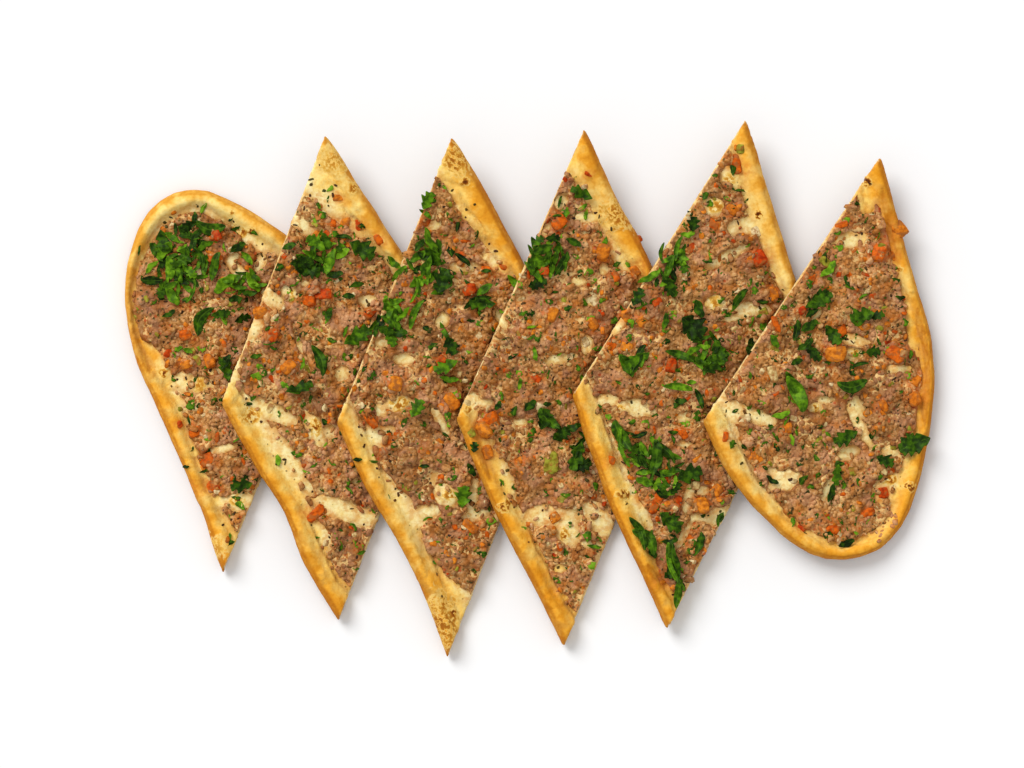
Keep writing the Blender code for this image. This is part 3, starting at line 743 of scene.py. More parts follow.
@dataclass
class SlicePlan:
    """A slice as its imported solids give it: its outline seen from above and the plane of its underside.

    Attributes:
        number: which slice of the row it is, from 1.
        crust: the outline's stretches under the crust, each a start and an end.
        cuts: the outline's stretches along the cuts.
        foot: a point of the underside's plane.
        down: the direction that the underside faces.
    """

    number: int
    crust: np.ndarray = field(init=False)
    cuts: np.ndarray = field(init=False)
    foot: np.ndarray = field(init=False)
    down: np.ndarray = field(init=False)

    upright = 0.001
    steep = 0.5
    short = 1.0 * MM

    def __post_init__(self) -> None:
        """Read the slice's bread, whose sides are upright and whose crust rises steeply from them."""
        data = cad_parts[self.node("bread")].data
        cuts = set()
        crust = set()
        for face in data.polygons:
            ends = [tuple(round(value, 6) for value in data.vertices[i].co[:2]) for i in face.vertices]
            stretches = {tuple(sorted(pair)) for pair in zip(ends, ends[1:] + ends[:1])}
            if abs(face.normal.z) < self.upright:
                cuts |= stretches
            elif abs(face.normal.z) < self.steep:
                crust |= stretches
        low = [face for face in data.polygons if face.normal.z < -self.steep]
        under = max(low, key=lambda face: face.area)
        self.foot = np.array(under.center)
        self.down = np.array(under.normal)
        self.crust = self.long_ones(crust)
        self.cuts = self.long_ones(cuts - crust)

    def long_ones(self, stretches: set[tuple]) -> np.ndarray:
        """The stretches that aren't all but a point, seen from above, each a start and an end."""
        lines = np.array(sorted(stretches))
        return lines[np.linalg.norm(lines[:, 1] - lines[:, 0], axis=1) > self.short]

    def node(self, layer: str) -> str:
        """The name of one of the slice's nodes or pieces."""
        return f"slice_{self.number}_{layer}"

    def above_floor(self, points: np.ndarray) -> np.ndarray:
        """How high each point lies over the underside's plane."""
        return ((points - self.foot) @ self.down) / self.down[2]

    def from_crust(self, points: np.ndarray) -> np.ndarray:
        """How far each point lies from the crust's edge, seen from above."""
        return self.distance(self.crust, points)

    def from_cuts(self, points: np.ndarray) -> np.ndarray:
        """How far each point lies from the nearest cut, seen from above."""
        return self.distance(self.cuts, points)

    @staticmethod
    def distance(lines: np.ndarray, points: np.ndarray) -> np.ndarray:
        """How far each point lies from the nearest of some stretches, seen from above.

        Args:
            lines: the stretches, each a start and an end.
            points: places in space, one to a row.

        Returns:
            One distance for each place.
        """
        start = lines[:, 0]
        along = lines[:, 1] - start
        offset = points[:, None, :2] - start
        share = ((offset * along).sum(-1) / (along**2).sum(-1)).clip(0, 1)
        return np.linalg.norm(offset - share[..., None] * along, axis=-1).min(axis=1)

    def room_above(self, points: np.ndarray) -> np.ndarray:
        """How free each point is of the slice that lies over this one.

        Args:
            points: places in space, one to a row.

        Returns:
            1 for a place in the open, and 0 for one with the next slice close over it.
        """
        if self.number == SLICE_COUNT:
            return np.ones(len(points))
        cover = tree_of(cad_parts[f"slice_{self.number + 1}_bread"])
        hidden = [cover.ray_cast(Vector(point) - UP * MM, UP, 20 * MM)[0] is not None for point in points]
        return 1.0 - np.array(hidden)


@dataclass(frozen=True)
class Place:
    """Where something lies on the plan.

    Attributes:
        x: how far along the row, in millimetres.
        y: how far across it.
    """

    x: float
    y: float

    @classmethod
    def each(cls, *facts: tuple[float, ...]) -> tuple[Self, ...]:
        """Several at once, each from its numbers in the order of the fields."""
        return tuple(cls(*numbers) for numbers in facts)

    def on_row(self) -> np.ndarray:
        """Where it lies in the row's frame, in metres."""
        return np.array([self.x, self.y]) * MM - ROW_MIDDLE

    def apart(self, points: np.ndarray) -> np.ndarray:
        """How far each point lies from it, seen from above."""
        return np.linalg.norm(points[:, :2] - self.on_row(), axis=1)


@dataclass(frozen=True)
class Spot(Place):
    """An oval place.

    Attributes:
        long: its half length in millimetres.
        wide: its half width.
        turn: how its length is turned, in degrees.
    """

    long: float
    wide: float
    turn: float = 0.0

    def share(self, points: np.ndarray) -> np.ndarray:
        """How far inside the spot each point is.

        Args:
            points: places in space, one to a row.

        Returns:
            1 in its middle, 0 at its rim and less outside, for each place.
        """
        offset = points[:, :2] - self.on_row()
        turn = math.radians(self.turn)
        along = offset @ (math.cos(turn), math.sin(turn)) / (self.long * MM)
        across = offset @ (-math.sin(turn), math.cos(turn)) / (self.wide * MM)
        return 1 - np.hypot(along, across)


@dataclass(frozen=True)
class Blister(Place):
    """A place where the dough puffed up or toasted.

    Attributes:
        reach: its radius in millimetres.
        rise: how far it stands up, in millimetres.
        toast: how dark it is, from 0 to 1.
    """

    reach: float
    rise: float
    toast: float

    def share(self, points: np.ndarray) -> np.ndarray:
        """How much each point belongs to it.

        Args:
            points: places in space, one to a row.

        Returns:
            One share for each place, from 0 to 1.
        """
        apart = self.apart(points) / (self.reach * MM)
        near = apart < 2
        apart[near] *= 1 + 0.9 * BLISTER_RIM.at(points[near])
        return (1 - apart**2).clip(0, 1)


@dataclass(frozen=True)
class Baked(Place):
    """A place on the crust.

    Attributes:
        level: how well it is baked, from 0 to 1.
    """

    level: float


@dataclass(frozen=True)
class Leaf(Place):
    """A small piece of parsley that lies by itself.

    Attributes:
        length: its length in millimetres.
        turn: how its length is turned, in degrees.
        tint: its green, from 0 for the darkest to 1 for the palest.
    """

    length: float
    turn: float
    tint: float


# Where the dough shows through the mince
NAKED = Spot.each(
    (-131.8, 53.1, 7, 2.2, -38), (-125.5, 70.5, 9, 4.4, -38), (-136, 60, 3, 1.8, 30), (-129, 77, 16, 3, -27),
    (-163.5, 83, 9, 1.6, 25), (-174.5, 72, 9, 1.6, 58), (-171, 13.5, 9, 2.6, -50), (-157, 2.4, 10, 3.8, -10),
    (-168, 7, 4, 4), (-143.6, 8.1, 3, 1.4), (-162, -12, 5, 2.4, -70), (-155.4, -30, 3.6, 2),
    (-151.3, -38, 5.5, 3, -50), (-144.3, -52, 7, 2.6, -10), (-133, -52.5, 6, 3.6, 20),
    (-137.5, -70, 7, 3.4, -80), (-140, -27.8, 8, 1.6, 15), (-122.8, -44, 3, 1.4, 80), (-134.5, 2, 9, 2.6, 75),
    (-124, 28.5, 6, 2.6, 72), (-117, 41.5, 6, 3.2, -35), (-107.8, 43.5, 4, 3), (-103.5, 75, 5, 3, -20),
    (-98, 72, 5, 2.2), (-89, 88.5, 8, 3.8, -60), (-85.5, 82, 6, 3.4, -20), (-68, 72, 11, 2.6, -55),
    (-84.7, 63.7, 3, 1.8), (-73.2, 40.3, 3.2, 2.6), (-102, 48, 2, 1.4), (-103.4, 18, 10, 1.2, -72),
    (-84.9, 6.7, 3.6, 2.6, 20), (-118, -10.5, 11, 4, -22), (-108, -34, 17, 2.8, -62),
    (-88, -55.3, 16, 4.2, -12), (-97, -66.5, 8, 4.4, -50), (-97.6, -19, 7.5, 3.4, -70), (-75, -60, 5, 3.4),
    (-91.4, -86, 3, 3), (-79, -43, 2, 1.4), (-24, 79.5, 11, 3.6, -50), (-35.4, 97.8, 6, 2, -30),
    (-27.6, 55.6, 7, 2), (-13, 57.6, 6, 3.2, -30), (-43, 75, 3, 2), (-38.5, 31.7, 3.4, 2.6, 60),
    (-56, 13.5, 4, 2.2), (-66, 21, 2.6, 1.8), (-34.3, -0.3, 2.4, 1.4), (-84, -9.6, 6, 1.4, 70),
    (-72, -22, 8.5, 4.6), (-70.5, -36, 10, 2.2, -72), (-67.7, -10.2, 3, 2.6), (-59, -7, 6, 3.4),
    (-39.2, -15.8, 6, 2.2, -60), (-26, -11, 6, 2.2, 75), (-56, -60.5, 9, 4.6), (-36.4, -49, 5, 4.4, -40),
    (-45.5, -57, 5, 3), (-25, -50, 8, 2.2, 80), (-24.4, -59, 6, 2.2, 10), (-53, -77, 14, 2.6, -64),
    (-36, -92.5, 10, 3.6, -22), (-12, 32, 5, 1.6, -60), (26.7, 102, 9, 4.4, 75), (15.8, 85.4, 3.2, 2.4, 60),
    (27.6, 78.5, 7, 2), (9.1, 73, 4, 1.4, 60), (27.3, 72, 2.4, 1.5), (43.4, 63, 9.5, 3.8, -65),
    (35.5, 55, 2.4, 1.8, 90), (29.6, 41, 3.4, 2.4, 45), (24.3, 49.3, 3, 1.8), (-26.4, -11.4, 7.5, 3.6, 75),
    (-18.3, -6.8, 3.4, 1.6), (-21.5, -25.8, 7, 2, 10), (-11, -41, 13, 3.6, -68), (11, -59, 12, 4.2, -4),
    (33.8, -60.5, 8.5, 4.8, -55), (-2.5, -15.3, 3, 1.6), (14.7, 13.3, 7, 2, 15), (27.8, 21, 4, 2.4, 90),
    (18.5, -64, 8, 4.4, -70), (-1.5, -67, 10, 1.8, -62), (30.8, -72.4, 5, 1.8, -10), (7, -83.5, 5, 2.4, -60),
    (15.3, -83, 3, 1.8), (14, -97.6, 5, 3, 20), (17.6, -106, 6, 3.4, -60), (100.6, 115, 5, 2.8, 70),
    (93.5, 95.7, 5, 4, -60), (105.5, 93.6, 4, 3.6), (109.7, 75.3, 25, 3.2, -72), (102, 75, 4.4, 3.6),
    (92, 60.5, 11, 2.2, 28), (86.5, 83.7, 4.2, 4.2), (102.7, 36.8, 9, 2.6, -5), (98.5, 33.6, 8, 1.6, 15),
    (86.8, 39.2, 4.6, 3), (116.4, 50.6, 5, 2.6, -60), (42.9, 28.8, 6, 1.8, 52), (51, -8.8, 9, 3.2, -12),
    (37, -5.6, 4.4, 2.8), (35.5, -24.6, 12, 2.2, -75), (42, -42, 9, 3, -62), (51.7, -57.5, 9, 3.6, -50),
    (57, -81, 6, 2.4, -60), (62.3, -96.7, 12, 2.2, -63), (73.5, -13, 4.4, 2.4, 20), (72.9, -25.7, 3.4, 1.6),
    (74.3, -51, 7, 2, 78), (81, -47, 3.2, 2), (89, -58.8, 6, 3.4, 30), (80.6, -59.3, 4.6, 1.8),
    (72.8, -67.2, 7, 1.6, 60), (63, 63, 4, 1.4, 50), (157.9, 91, 10, 4.6, 72), (166.4, 80, 5, 2.2, -60),
    (148.8, 68.2, 7, 3, 10), (173.8, 54, 14, 2, -76), (178, 29, 11, 2.6, -83), (150.9, 22, 6, 2.6, -10),
    (151.3, 16, 3.6, 2.6), (172, 9, 6, 1.6), (91.8, -11.5, 8, 5, 10), (108, -13.6, 7, 3, -15),
    (95.4, -27, 9, 2.2, -58), (117.8, -42.5, 7, 4.2, 20), (112.9, -52.7, 5, 2.2, -60),
    (138.6, -46.5, 5, 1.6, 70), (148.3, -29.8, 5, 2.8, 20), (153.7, -17.8, 11, 2.2, -60),
    (167, -46.7, 8, 5, 42), (167.5, -29, 3.4, 2.2), (149.5, 15.5, 4, 3), (158, -73.5, 7, 2, 12),
    (128, -68.5, 12, 1.4, -35), (132.6, -8.7, 3, 2.2), (138, -5.2, 4, 1.6), (133, 33, 4, 1.2, 50),
)

# Where the mince spilt over the crust
SPILT = Spot.each((-182, 43, 17, 6.5, 83), (168, -66, 9, 5, 50))

BLISTERS = Blister.each(
    (-167.6, 7.1, 3.4, 0.8, 0.75), (-151, 2, 5, 0.7, 0.55), (-133.5, -52, 4.4, 0.7, 0.6),
    (-126, 73, 1.8, 0.4, 0.95), (-135.5, 81, 1.2, 0.3, 0.9), (-143, -74, 6, 0.3, 0.5),
    (-88.5, 104, 10, 0.4, 0.5), (-97, -17.5, 4.4, 0.8, 0.7), (-126.5, -13, 5.5, -0.5, 0.6),
    (-79.5, 92, 4, 0.3, 0.65), (-108, 43.5, 3, 0.4, 0.5), (-132, 72, 4, 0.4, 0.7), (-32, 104, 10, 0.4, 0.6),
    (-36.4, -49, 4.4, 0.9, 0.6), (-39.5, -108, 15, 0.3, 0.6), (-28, 95, 3.4, 0.4, 0.8),
    (-58.5, -7, 5, 0.7, 0.6), (-34, -103, 3, 0.4, 0.8), (41, 80, 9, 0.3, 0.6), (17.3, -67.7, 3.8, 0.8, 0.65),
    (-10.4, -54, 3, 0.5, 0.75), (93, 96, 5, 0.6, 0.5), (86.5, 83.7, 4.8, 0.6, 0.55),
    (86.5, 39.3, 4.4, 0.7, 0.55), (42.6, -9.8, 3, 0.6, 0.65), (43.6, -48.5, 3.4, 0.7, 0.75),
    (107, 79.8, 2.4, 0.3, 1.0), (157, 94.5, 2.8, 0.4, 1.0), (176, 1, 5, 0.5, 0.6), (168, -42, 4, 0.4, 0.7),
    (165, -40, 2.5, 0.4, 0.8), (176, -45, 2.6, 0.4, 0.9), (172, 55, 3, 0.4, 0.6),
    (132.6, -8.7, 2.6, 0.5, 0.7), (151.3, 16, 3, 0.6, 0.7), (-26.6, -10, 3, 0.5, 0.6),
)

# How well the crust is baked, slice by slice
BAKED = (
    Baked.each(
        (-173, 77, 0.1), (-150, 89, 0.15), (-125, 80, 0.3), (-183, 41, 0.1), (-178, 18, 0.5),
        (-162, -19, 0.65), (-148, -56, 0.55), (-140, -79, 0.7),
    ),
    Baked.each(
        (-92, 112, 0.45), (-81, 96, 0.25), (-65, 73, 0.35), (-137, -5, 0.45), (-129, -24, 0.8),
        (-116, -51, 0.7), (-104, -74, 0.55), (-90, -100, 0.75),
    ),
    Baked.each(
        (-33, 110, 0.9), (-21, 91, 0.85), (-8, 68, 0.85), (-85, -12, 0.45), (-74, -37, 0.5), (-58, -70, 0.35),
        (-44, -97, 0.7), (-37, -116, 0.95),
    ),
    Baked.each(
        (28, 112, 0.85), (36, 96, 0.4), (52, 68, 0.75), (-28, -17, 0.4), (-19, -47, 0.75), (-3, -79, 0.65),
        (15, -113, 0.85),
    ),
    Baked.each(
        (101, 117, 0.5), (110, 96, 0.35), (119, 64, 0.3), (25, -5, 0.6), (31, -33, 0.8), (45, -70, 0.65),
        (61, -104, 0.65),
    ),
    Baked.each(
        (163, 100, 0.8), (172, 73, 0.55), (179, 54, 0.4), (186, 18, 0.85), (186, -10, 1.0), (183, -37, 0.85),
        (172, -60, 0.7), (158, -74, 0.65), (126, -70, 0.5), (103, -51, 0.4), (87, -24, 0.35),
    ),
)

# The diced vegetables: where each lies, its half length and half width in millimetres, and its turn
DICE = {
    Kind.CARROT: Spot.each(
        (-156.6, 11, 3, 2, 10), (-146, 12.8, 3.4, 2.6, 40), (-109.6, 9.9, 4, 3, -50),
        (-122, 35, 3.6, 2.8, 20), (-96, 69.6, 3.4, 2.8, 30), (-86.7, 87.8, 3, 1.6, -45),
        (-83.5, 76.7, 2.8, 2.2), (-105.5, 13.5, 3, 2, 60), (-49.5, 51.4, 4, 2.8, 20),
        (-60.3, 2.2, 3.6, 3.2, 10), (-34.4, -6, 4.4, 2.8, 72), (-26, -63.6, 4.2, 2.2, 5),
        (-19.6, -19, 4, 3.4, 20), (-18.1, -29.3, 3.2, 2.4, 25), (-3, -33, 2.6, 2.2, 30),
        (12.6, -59.4, 2.8, 2.6, 50), (34.9, 62.5, 4, 3.4, 70), (11.8, 34.1, 3.6, 2.4),
        (30.2, 29.5, 3, 2.4, 50), (50.6, 54.8, 3.2, 2.6, 40), (45.7, 33, 3.2, 2.6, 10),
        (52.7, 31, 3, 2.2, -20), (45.7, 18.9, 3, 2.4, 30), (113.3, 43.6, 3.4, 2.8, -60),
        (94.2, 82.3, 3, 2.4, 70), (81.3, -53.8, 3.8, 3, -15), (61.6, -89, 2.6, 2.2, -50), (87.6, -46.8, 3, 3),
        (171.3, 73.1, 4, 3.4, 20), (168.5, 61.2, 2.6, 1.8, 20), (141.8, 16.1, 4.6, 3.6, 82),
        (179, 3.8, 3, 2.8), (178.6, -4.5, 3.8, 3, 10), (164.3, -8, 2.8, 2, 30), (120, -18, 3, 2.2, 50),
        (105.9, -31.3, 3.6, 2.6, -50),
    ),
    Kind.RED_PEPPER: Spot.each(
        (-157.2, 24.6, 3.2, 2.6, 80), (-143.8, 60, 4, 1.8, 20), (-152.5, -20, 3.4, 2.4, -60),
        (-147.2, -33, 3.4, 3, 30), (-146, -45.3, 3.6, 2.4), (-156.6, -44.7, 3.2, 1.8, -10),
        (-99.8, 40.6, 3.6, 3, 70), (-89.7, 75.5, 2.4, 2, 40), (-68, 68.4, 2.8, 2, -40),
        (-97.3, -57.6, 4.6, 2.2, -10), (-46, 76.7, 2.6, 2, 30), (-62.7, -24.6, 4.6, 1.9, 52),
        (-71, -15, 4.4, 2, -20), (-19, 53.4, 3, 2.6), (-11, 56, 2.2, 1.6, 60), (-17, -14.5, 4.2, 3, 60),
        (15, 76, 3.8, 3, -50), (40.6, 51.3, 2.6, 2.2, 20), (96.4, 102.7, 5, 2.4, -30),
        (85.8, 75.3, 3.2, 2.4, -10), (39.3, 20.3, 3.6, 2.6, -20), (72.1, -20.7, 2.8, 2, 40),
        (38.4, -32.7, 2.6, 2, 60), (59.5, -52.4, 5.6, 2.2, -15), (75, -67.9, 3.2, 2, 60),
        (114.3, 29.5, 4, 1.5, 52), (162.2, 62.6, 4.2, 3, 35), (130.5, 50.6, 3.2, 2.4, 40),
        (144.6, 27.4, 3.6, 2.4, -40), (169.9, 15.4, 4.2, 3.2, 20), (91.1, -22.1, 2.6, 1.5, -50),
        (144.6, 75, 3.2, 1.4, 10), (140.3, -64.3, 4.2, 2.8, -20), (157.2, -57.3, 3.4, 2, 30),
    ),
    Kind.TOMATO: Spot.each(
        (-142.5, 70.6, 2.6, 2, 50), (-160, -16.5, 1.9, 1.6), (-165.4, 16.3, 2.2, 1.6),
        (-116.1, 24.5, 3.2, 2.4, 70), (-93.4, 43.2, 4.4, 2.8, -10), (-77.3, 75.2, 2.8, 2),
        (-72, 34.4, 3, 2, 10), (-26.2, 45.3, 3.2, 2.8, 80), (-29.6, 61.3, 2.6, 1.8, -30),
        (-39.8, 11.8, 3.6, 2), (3.6, 4.7, 3.2, 2, -10), (28.4, 98.3, 2, 1.1, 30), (7.9, 53.7, 2.4, 2, 40),
        (106.9, 59.8, 4, 3.6, 30), (75.9, 64.7, 2.4, 1.8), (59.8, 39.4, 1.6, 2.4, 10),
        (66.1, 10.5, 3.6, 2.4, 20), (69.3, -52.4, 3.2, 2, 60), (126.3, 35.8, 2.2, 1.8, 20),
        (164.3, -48.1, 2.8, 2.6, 30), (126.3, -64.3, 2.4, 1.8), (52, 69, 1.6, 1.4), (-52.6, 41, 2.2, 1.6, 20),
    ),
    Kind.GREEN_PEPPER: Spot.each(
        (10.6, -34, 5.4, 3.8, 50), (109, 34.4, 3, 2.6, 60), (148.8, -37.5, 3, 2.6, 20),
        (-25.5, -20, 2.6, 2, 10), (-100.5, 9, 2.6, 1.8, 70), (16.6, -50.6, 2.6, 1.8, 10),
        (-107.5, 40.5, 1.8, 1.6), (98.2, 110, 2.6, 2, -60), (137, 58, 3, 1.8, 60), (-46, 66, 2.4, 1.6, 20),
        (-152, 12.5, 2.6, 1.6, -20),
    ),
    Kind.ONION: Spot.each(
        (6.1, -8.8, 3, 2.2, 20), (30.9, 40.4, 3.4, 2.2, 45), (112.9, 6.8, 4.2, 2.2, -10),
        (-21.6, 23.8, 2.4, 1.8), (27, 21.5, 2.6, 1.8, 50), (-153, 52, 4.2, 2, -20), (72.4, 52, 2.2, 1.4, 70),
        (105, 72, 3, 2.2, 30), (78, -44.6, 2.4, 2.2, 30), (58.6, -10, 2.8, 1.8, 20), (-118, -9, 2.6, 1.6),
        (20, 14.5, 3, 1.6, 20), (100, -14, 3, 2, -30), (-153, -9.6, 3.4, 1.6, 40), (136, 10, 2.4, 1.4),
    ),
}


def inside(places: Iterable[Spot], points: np.ndarray) -> np.ndarray:
    """How far each point lies inside the nearest of some spots.

    Args:
        places: the spots.
        points: places in space, one to a row.

    Returns:
        1 in a spot's middle, 0 at its rim and less outside, for each point.
    """
    result = np.full(len(points), -2.0)
    for spot in places:
        reach = 2.5 * max(spot.long, spot.wide) * MM
        near = np.abs(points[:, :2] - spot.on_row()).max(axis=1) < reach
        result[near] = np.maximum(result[near], spot.share(points[near]))
    return result


def bareness(points: np.ndarray) -> np.ndarray:
    """How far each point lies inside the places without mince, as inside() gives it, with a ragged rim."""
    return reduce(lambda total, rag: total + rag[0] * rag[1].at(points), RAGS, inside(NAKED, points))


def naked(level: np.ndarray) -> np.ndarray:
    """1 for a bareness well inside a place without mince, and 0 for one outside."""
    return (level * 3.4 + 1.2).clip(0, 1)


def stain(points: np.ndarray) -> np.ndarray:
    """How much colour each point took from the diced vegetables beside it, from 0 to 1."""
    places = DICE[Kind.CARROT] + DICE[Kind.RED_PEPPER] + DICE[Kind.TOMATO]
    return ((inside(places, points) + 1.3) / 1.1).clip(0, 1)


@dataclass
class Dough:
    """The baked dough of a slice, made fine: a rounded crust, dimples, wrinkles, blisters and a porous cut.

    Attributes:
        plan: the slice.
        voxel: how fine its mesh is.
        swell: the height of its slow waves.
        wrinkle: the height of its fine wrinkles.
        crease: the depth of the crease inside the crust.
        crease_in: how far in from the edge the crease runs.
        crust_rounds: how often the crust's outline is smoothed.
        plump: how far the crust is blown up after that.
        puff: how far it rises where it has no mince.
        pores: how deep the pores of the cut are.
        tips: how far across the row a slice's tips begin, and over how much they broaden, in millimetres.
        oil_reach: how far from the beef its oil went.
    """

    plan: SlicePlan
    voxel: float = 0.95 * MM
    swell: float = 0.45 * MM
    wrinkle: float = 0.16 * MM
    crease: float = 0.9 * MM
    crease_in: float = 8.6 * MM
    crust_rounds: int = 12
    plump: float = 0.35 * MM
    puff: float = 0.6 * MM
    pores: float = 0.5 * MM
    tips: tuple[float, float] = (55.0, 30.0)
    oil_reach: float = 5.0 * MM

    def build(self) -> Object:
        """Model the dough.

        Returns:
            The piece, with the numbers that its material reads.
        """
        obj = copy_of_node(self.plan.node("bread"), self.plan.node("dough"))
        finish_with(obj, "REMESH", mode="VOXEL", voxel_size=self.voxel)
        self.round_crust(obj)
        finish_with(obj, "SMOOTH", factor=0.5, iterations=3)
        points = corners_of(obj)
        facing = normals_of(obj)
        rim = self.plan.from_crust(points)
        cut = self.plan.from_cuts(points)
        bare = bareness(points)
        shares = [blister.share(points) for blister in BLISTERS]
        top = (facing[:, 2] * 2).clip(0, 1) * self.plan.room_above(points)
        away = (cut / (2 * MM)).clip(0.15, 1)
        push = self.swell * Waves(13 * MM, 2, self.plan.number).at(points) * away
        push += self.wrinkle * Waves(3 * MM, 3, 7).at(points) * away
        line, ridge = self.fold(points, rim)
        rise = self.puff * naked(bare)
        for blister, share in zip(BLISTERS, shares):
            rise += blister.rise * MM * share
        push += top * (self.crease * (0.5 * ridge - line) + rise)
        push = np.where(top > 0.05, push, np.minimum(push * 0.3, 0))
        wall = (1 - cut / (0.8 * MM)).clip(0, 1) * (1 - np.abs(facing[:, 2])).clip(0, 1)
        push -= wall * self.pores * Granules(1.9 * MM, 5).at(points)[0]
        placed = points + facing * push[:, None]
        placed[:, 2] = placed[:, 2].clip(0, None)
        move_corners(obj, placed)
        toast = np.max([1.3 * blister.toast * share for blister, share in zip(BLISTERS, shares)], axis=0)
        mark(
            obj,
            rim=(rim / self.crust_width(points)).clip(0, 1),
            bake=self.bake(points),
            toast=toast.clip(0, 1) * (facing[:, 2] > 0),
            cut=(wall * 2).clip(0, 1),
            # under: downward-facing faces, the baked underside and the crust's lower wall, coloured as baked
            # brown and painted shade
            under=(-facing[:, 2] * 2).clip(0, 1),
            # fold: where the material paints shade along the crease inside the crust
            fold=line,
            oil=np.minimum(self.oil(points), (0.95 - 1.8 * bare).clip(0, 1)),
            stain=stain(points),
        )
        return obj

    def round_crust(self, obj: Object) -> None:
        """Smooth the crust's outline, away from the cuts.

        Args:
            obj: the dough.
        """
        points = corners_of(obj)
        amount = (1.3 - self.plan.from_crust(points) / (5 * MM)).clip(0, 1)
        amount *= (self.plan.from_cuts(points) / (3 * MM) - 0.3).clip(0, 1)
        group = obj.vertex_groups.new(name="crust")
        for i in np.flatnonzero(amount > 0.02):
            group.add([int(i)], float(amount[i]), "REPLACE")
        finish_with(obj, "SMOOTH", factor=0.6, iterations=self.crust_rounds, vertex_group="crust")
        move_corners(obj, corners_of(obj) + normals_of(obj) * (amount * self.plump)[:, None])

    def crust_width(self, points: np.ndarray) -> np.ndarray:
        """How far in the crust's browning reaches beside each point, which is further at a slice's tips."""
        tip = {1: -points[:, 1], SLICE_COUNT: points[:, 1]}.get(self.plan.number, np.abs(points[:, 1]))
        return DoughFinish.crust_width * (1 + 0.8 * ((tip / MM - self.tips[0]) / self.tips[1]).clip(0, 1))

    def bake(self, points: np.ndarray) -> np.ndarray:
        """How well each point is baked, from the nearest known places.

        Args:
            points: the mesh's corners.

        Returns:
            One level for each, from 0 to 1.
        """
        total = np.zeros(len(points))
        weights = np.full(len(points), 1e-9)
        for place in BAKED[self.plan.number - 1]:
            weight = 1 / (0.1 + (place.apart(points) / (14 * MM)) ** 4)
            total += place.level * weight
            weights += weight
        return total / weights

    def fold(self, points: np.ndarray, rim: np.ndarray) -> tuple[np.ndarray, np.ndarray]:
        """The crease inside the crust and the ridge beside it.

        Args:
            points: the mesh's corners.
            rim: how far each lies from the crust's edge.

        Returns:
            How much each corner belongs to the crease and to the ridge, from 0 to 1.
        """
        run = self.crease_in + 2.2 * MM * Waves(15 * MM, 3, 3).at(points)
        there = (Waves(24 * MM, 1, 4).at(points) * 4 + 1.2).clip(0, 1)
        line = there * np.exp(-(((rim - run) / (0.7 * MM)) ** 2))
        ridge = there * np.exp(-(((rim - run + 1.6 * MM) / (1.1 * MM)) ** 2))
        return line, ridge

    def oil(self, points: np.ndarray) -> np.ndarray:
        """How much oil of the beef each point took.

        Args:
            points: the mesh's corners.

        Returns:
            One share for each, from 0 to 1.
        """
        beef = tree_of(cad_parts[self.plan.node("beef")])
        found = [beef.find_nearest(Vector(point), self.oil_reach)[3] for point in points]
        apart = np.array([self.oil_reach if value is None else value for value in found])
        return 1 - apart / self.oil_reach


@dataclass
class Mince:
    """The mince of a slice, made fine: granules pressed together in clumps with a ragged edge.

    Attributes:
        plan: the slice.
        voxel: how fine its mesh is.
        clump: the height of its clumps.
        granule: the height of its granules.
        fine: the height of the smallest granules.
        tear: the height of the torn relief that lies over them all.
        bend: how far the granules are bent out of their even packing.
        skin: how far it may rise under the next slice.
        close: how much of it is pressed close together; more for a higher number.
        thin: how much lower it is in between.
        settle: how far its underside sinks into the dough.
        bed: how high over the slice's underside it ends where the dough is naked.
    """

    plan: SlicePlan
    voxel: float = 0.66 * MM
    clump: float = 1.2 * MM
    granule: float = 0.7 * MM
    fine: float = 0.36 * MM
    tear: float = 0.5 * MM
    bend: float = 1.4 * MM
    skin: float = 0.1 * MM
    close: float = 0.08
    thin: float = 0.8 * MM
    settle: float = 0.6 * MM
    bed: float = 4.6 * MM

    def build(self) -> Object:
        """Model the mince.

        Returns:
            The piece, with the numbers that its material reads.
        """
        number = self.plan.number
        obj = copy_of_node(self.plan.node("beef"), self.plan.node("mince"))
        finish_with(obj, "REMESH", mode="VOXEL", voxel_size=self.voxel)
        finish_with(obj, "SMOOTH", factor=0.5, iterations=2)
        points = corners_of(obj)
        facing = normals_of(obj)
        top = ((facing[:, 2] + 0.3) * 2).clip(0, 1)
        bent = points + self.bend * Waves(4 * MM, 2, 9).at(points)[:, None]
        lump = Granules(8 * MM, 20 + number).at(bent)[0]
        near, grain = Granules(2.8 * MM, number).at(bent)
        small, fleck = Granules(1.5 * MM, 40 + number).at(bent)
        torn = Waves(2.6 * MM, 3, 77).at(points)
        push = self.clump * (lump * 2 - 0.9).clip(-1, 0.5) + self.granule * (near - 0.6)
        push = push + self.fine * (small - 0.6) + self.tear * torn
        covered = self.plan.room_above(points) < 1
        push = np.where(covered, np.minimum(push, self.skin), push) * top
        cut = self.plan.from_cuts(points)
        push = np.where(cut < 1.2 * MM, push * 0.6, push)
        placed = points + facing * push[:, None]
        placed[:, 2] -= self.settle * (facing[:, 2] < -0.3)
        level = bareness(points)
        bare = naked(level)
        loose = ((Waves(8 * MM, 4, 30 + number).at(points) - self.close) * 6).clip(0, 1)
        placed[:, 2] -= self.thin * loose * top
        placed[:, 2] -= (self.plan.above_floor(placed) - self.bed).clip(0, None) * bare
        move_corners(obj, placed)
        beside = ((level + 0.85) / 0.45).clip(0, 1)
        side = (1 - facing[:, 2].clip(0, 1)) * (cut / (2 * MM) - 1).clip(0, 1)
        mark(
            obj,
            grain=0.65 * grain + 0.35 * fleck,
            # relief: low between granules and clumps, where the material paints shade
            relief=(near * 0.45 + small * 0.25 + lump * 0.4 + torn * 0.35).clip(0, 1),
            edge=(0.8 * beside + 2.4 * loose * (1 - loose) + side).clip(0, 1),
            bare=np.maximum(bare, loose),
            stain=stain(placed),
        )
        return obj


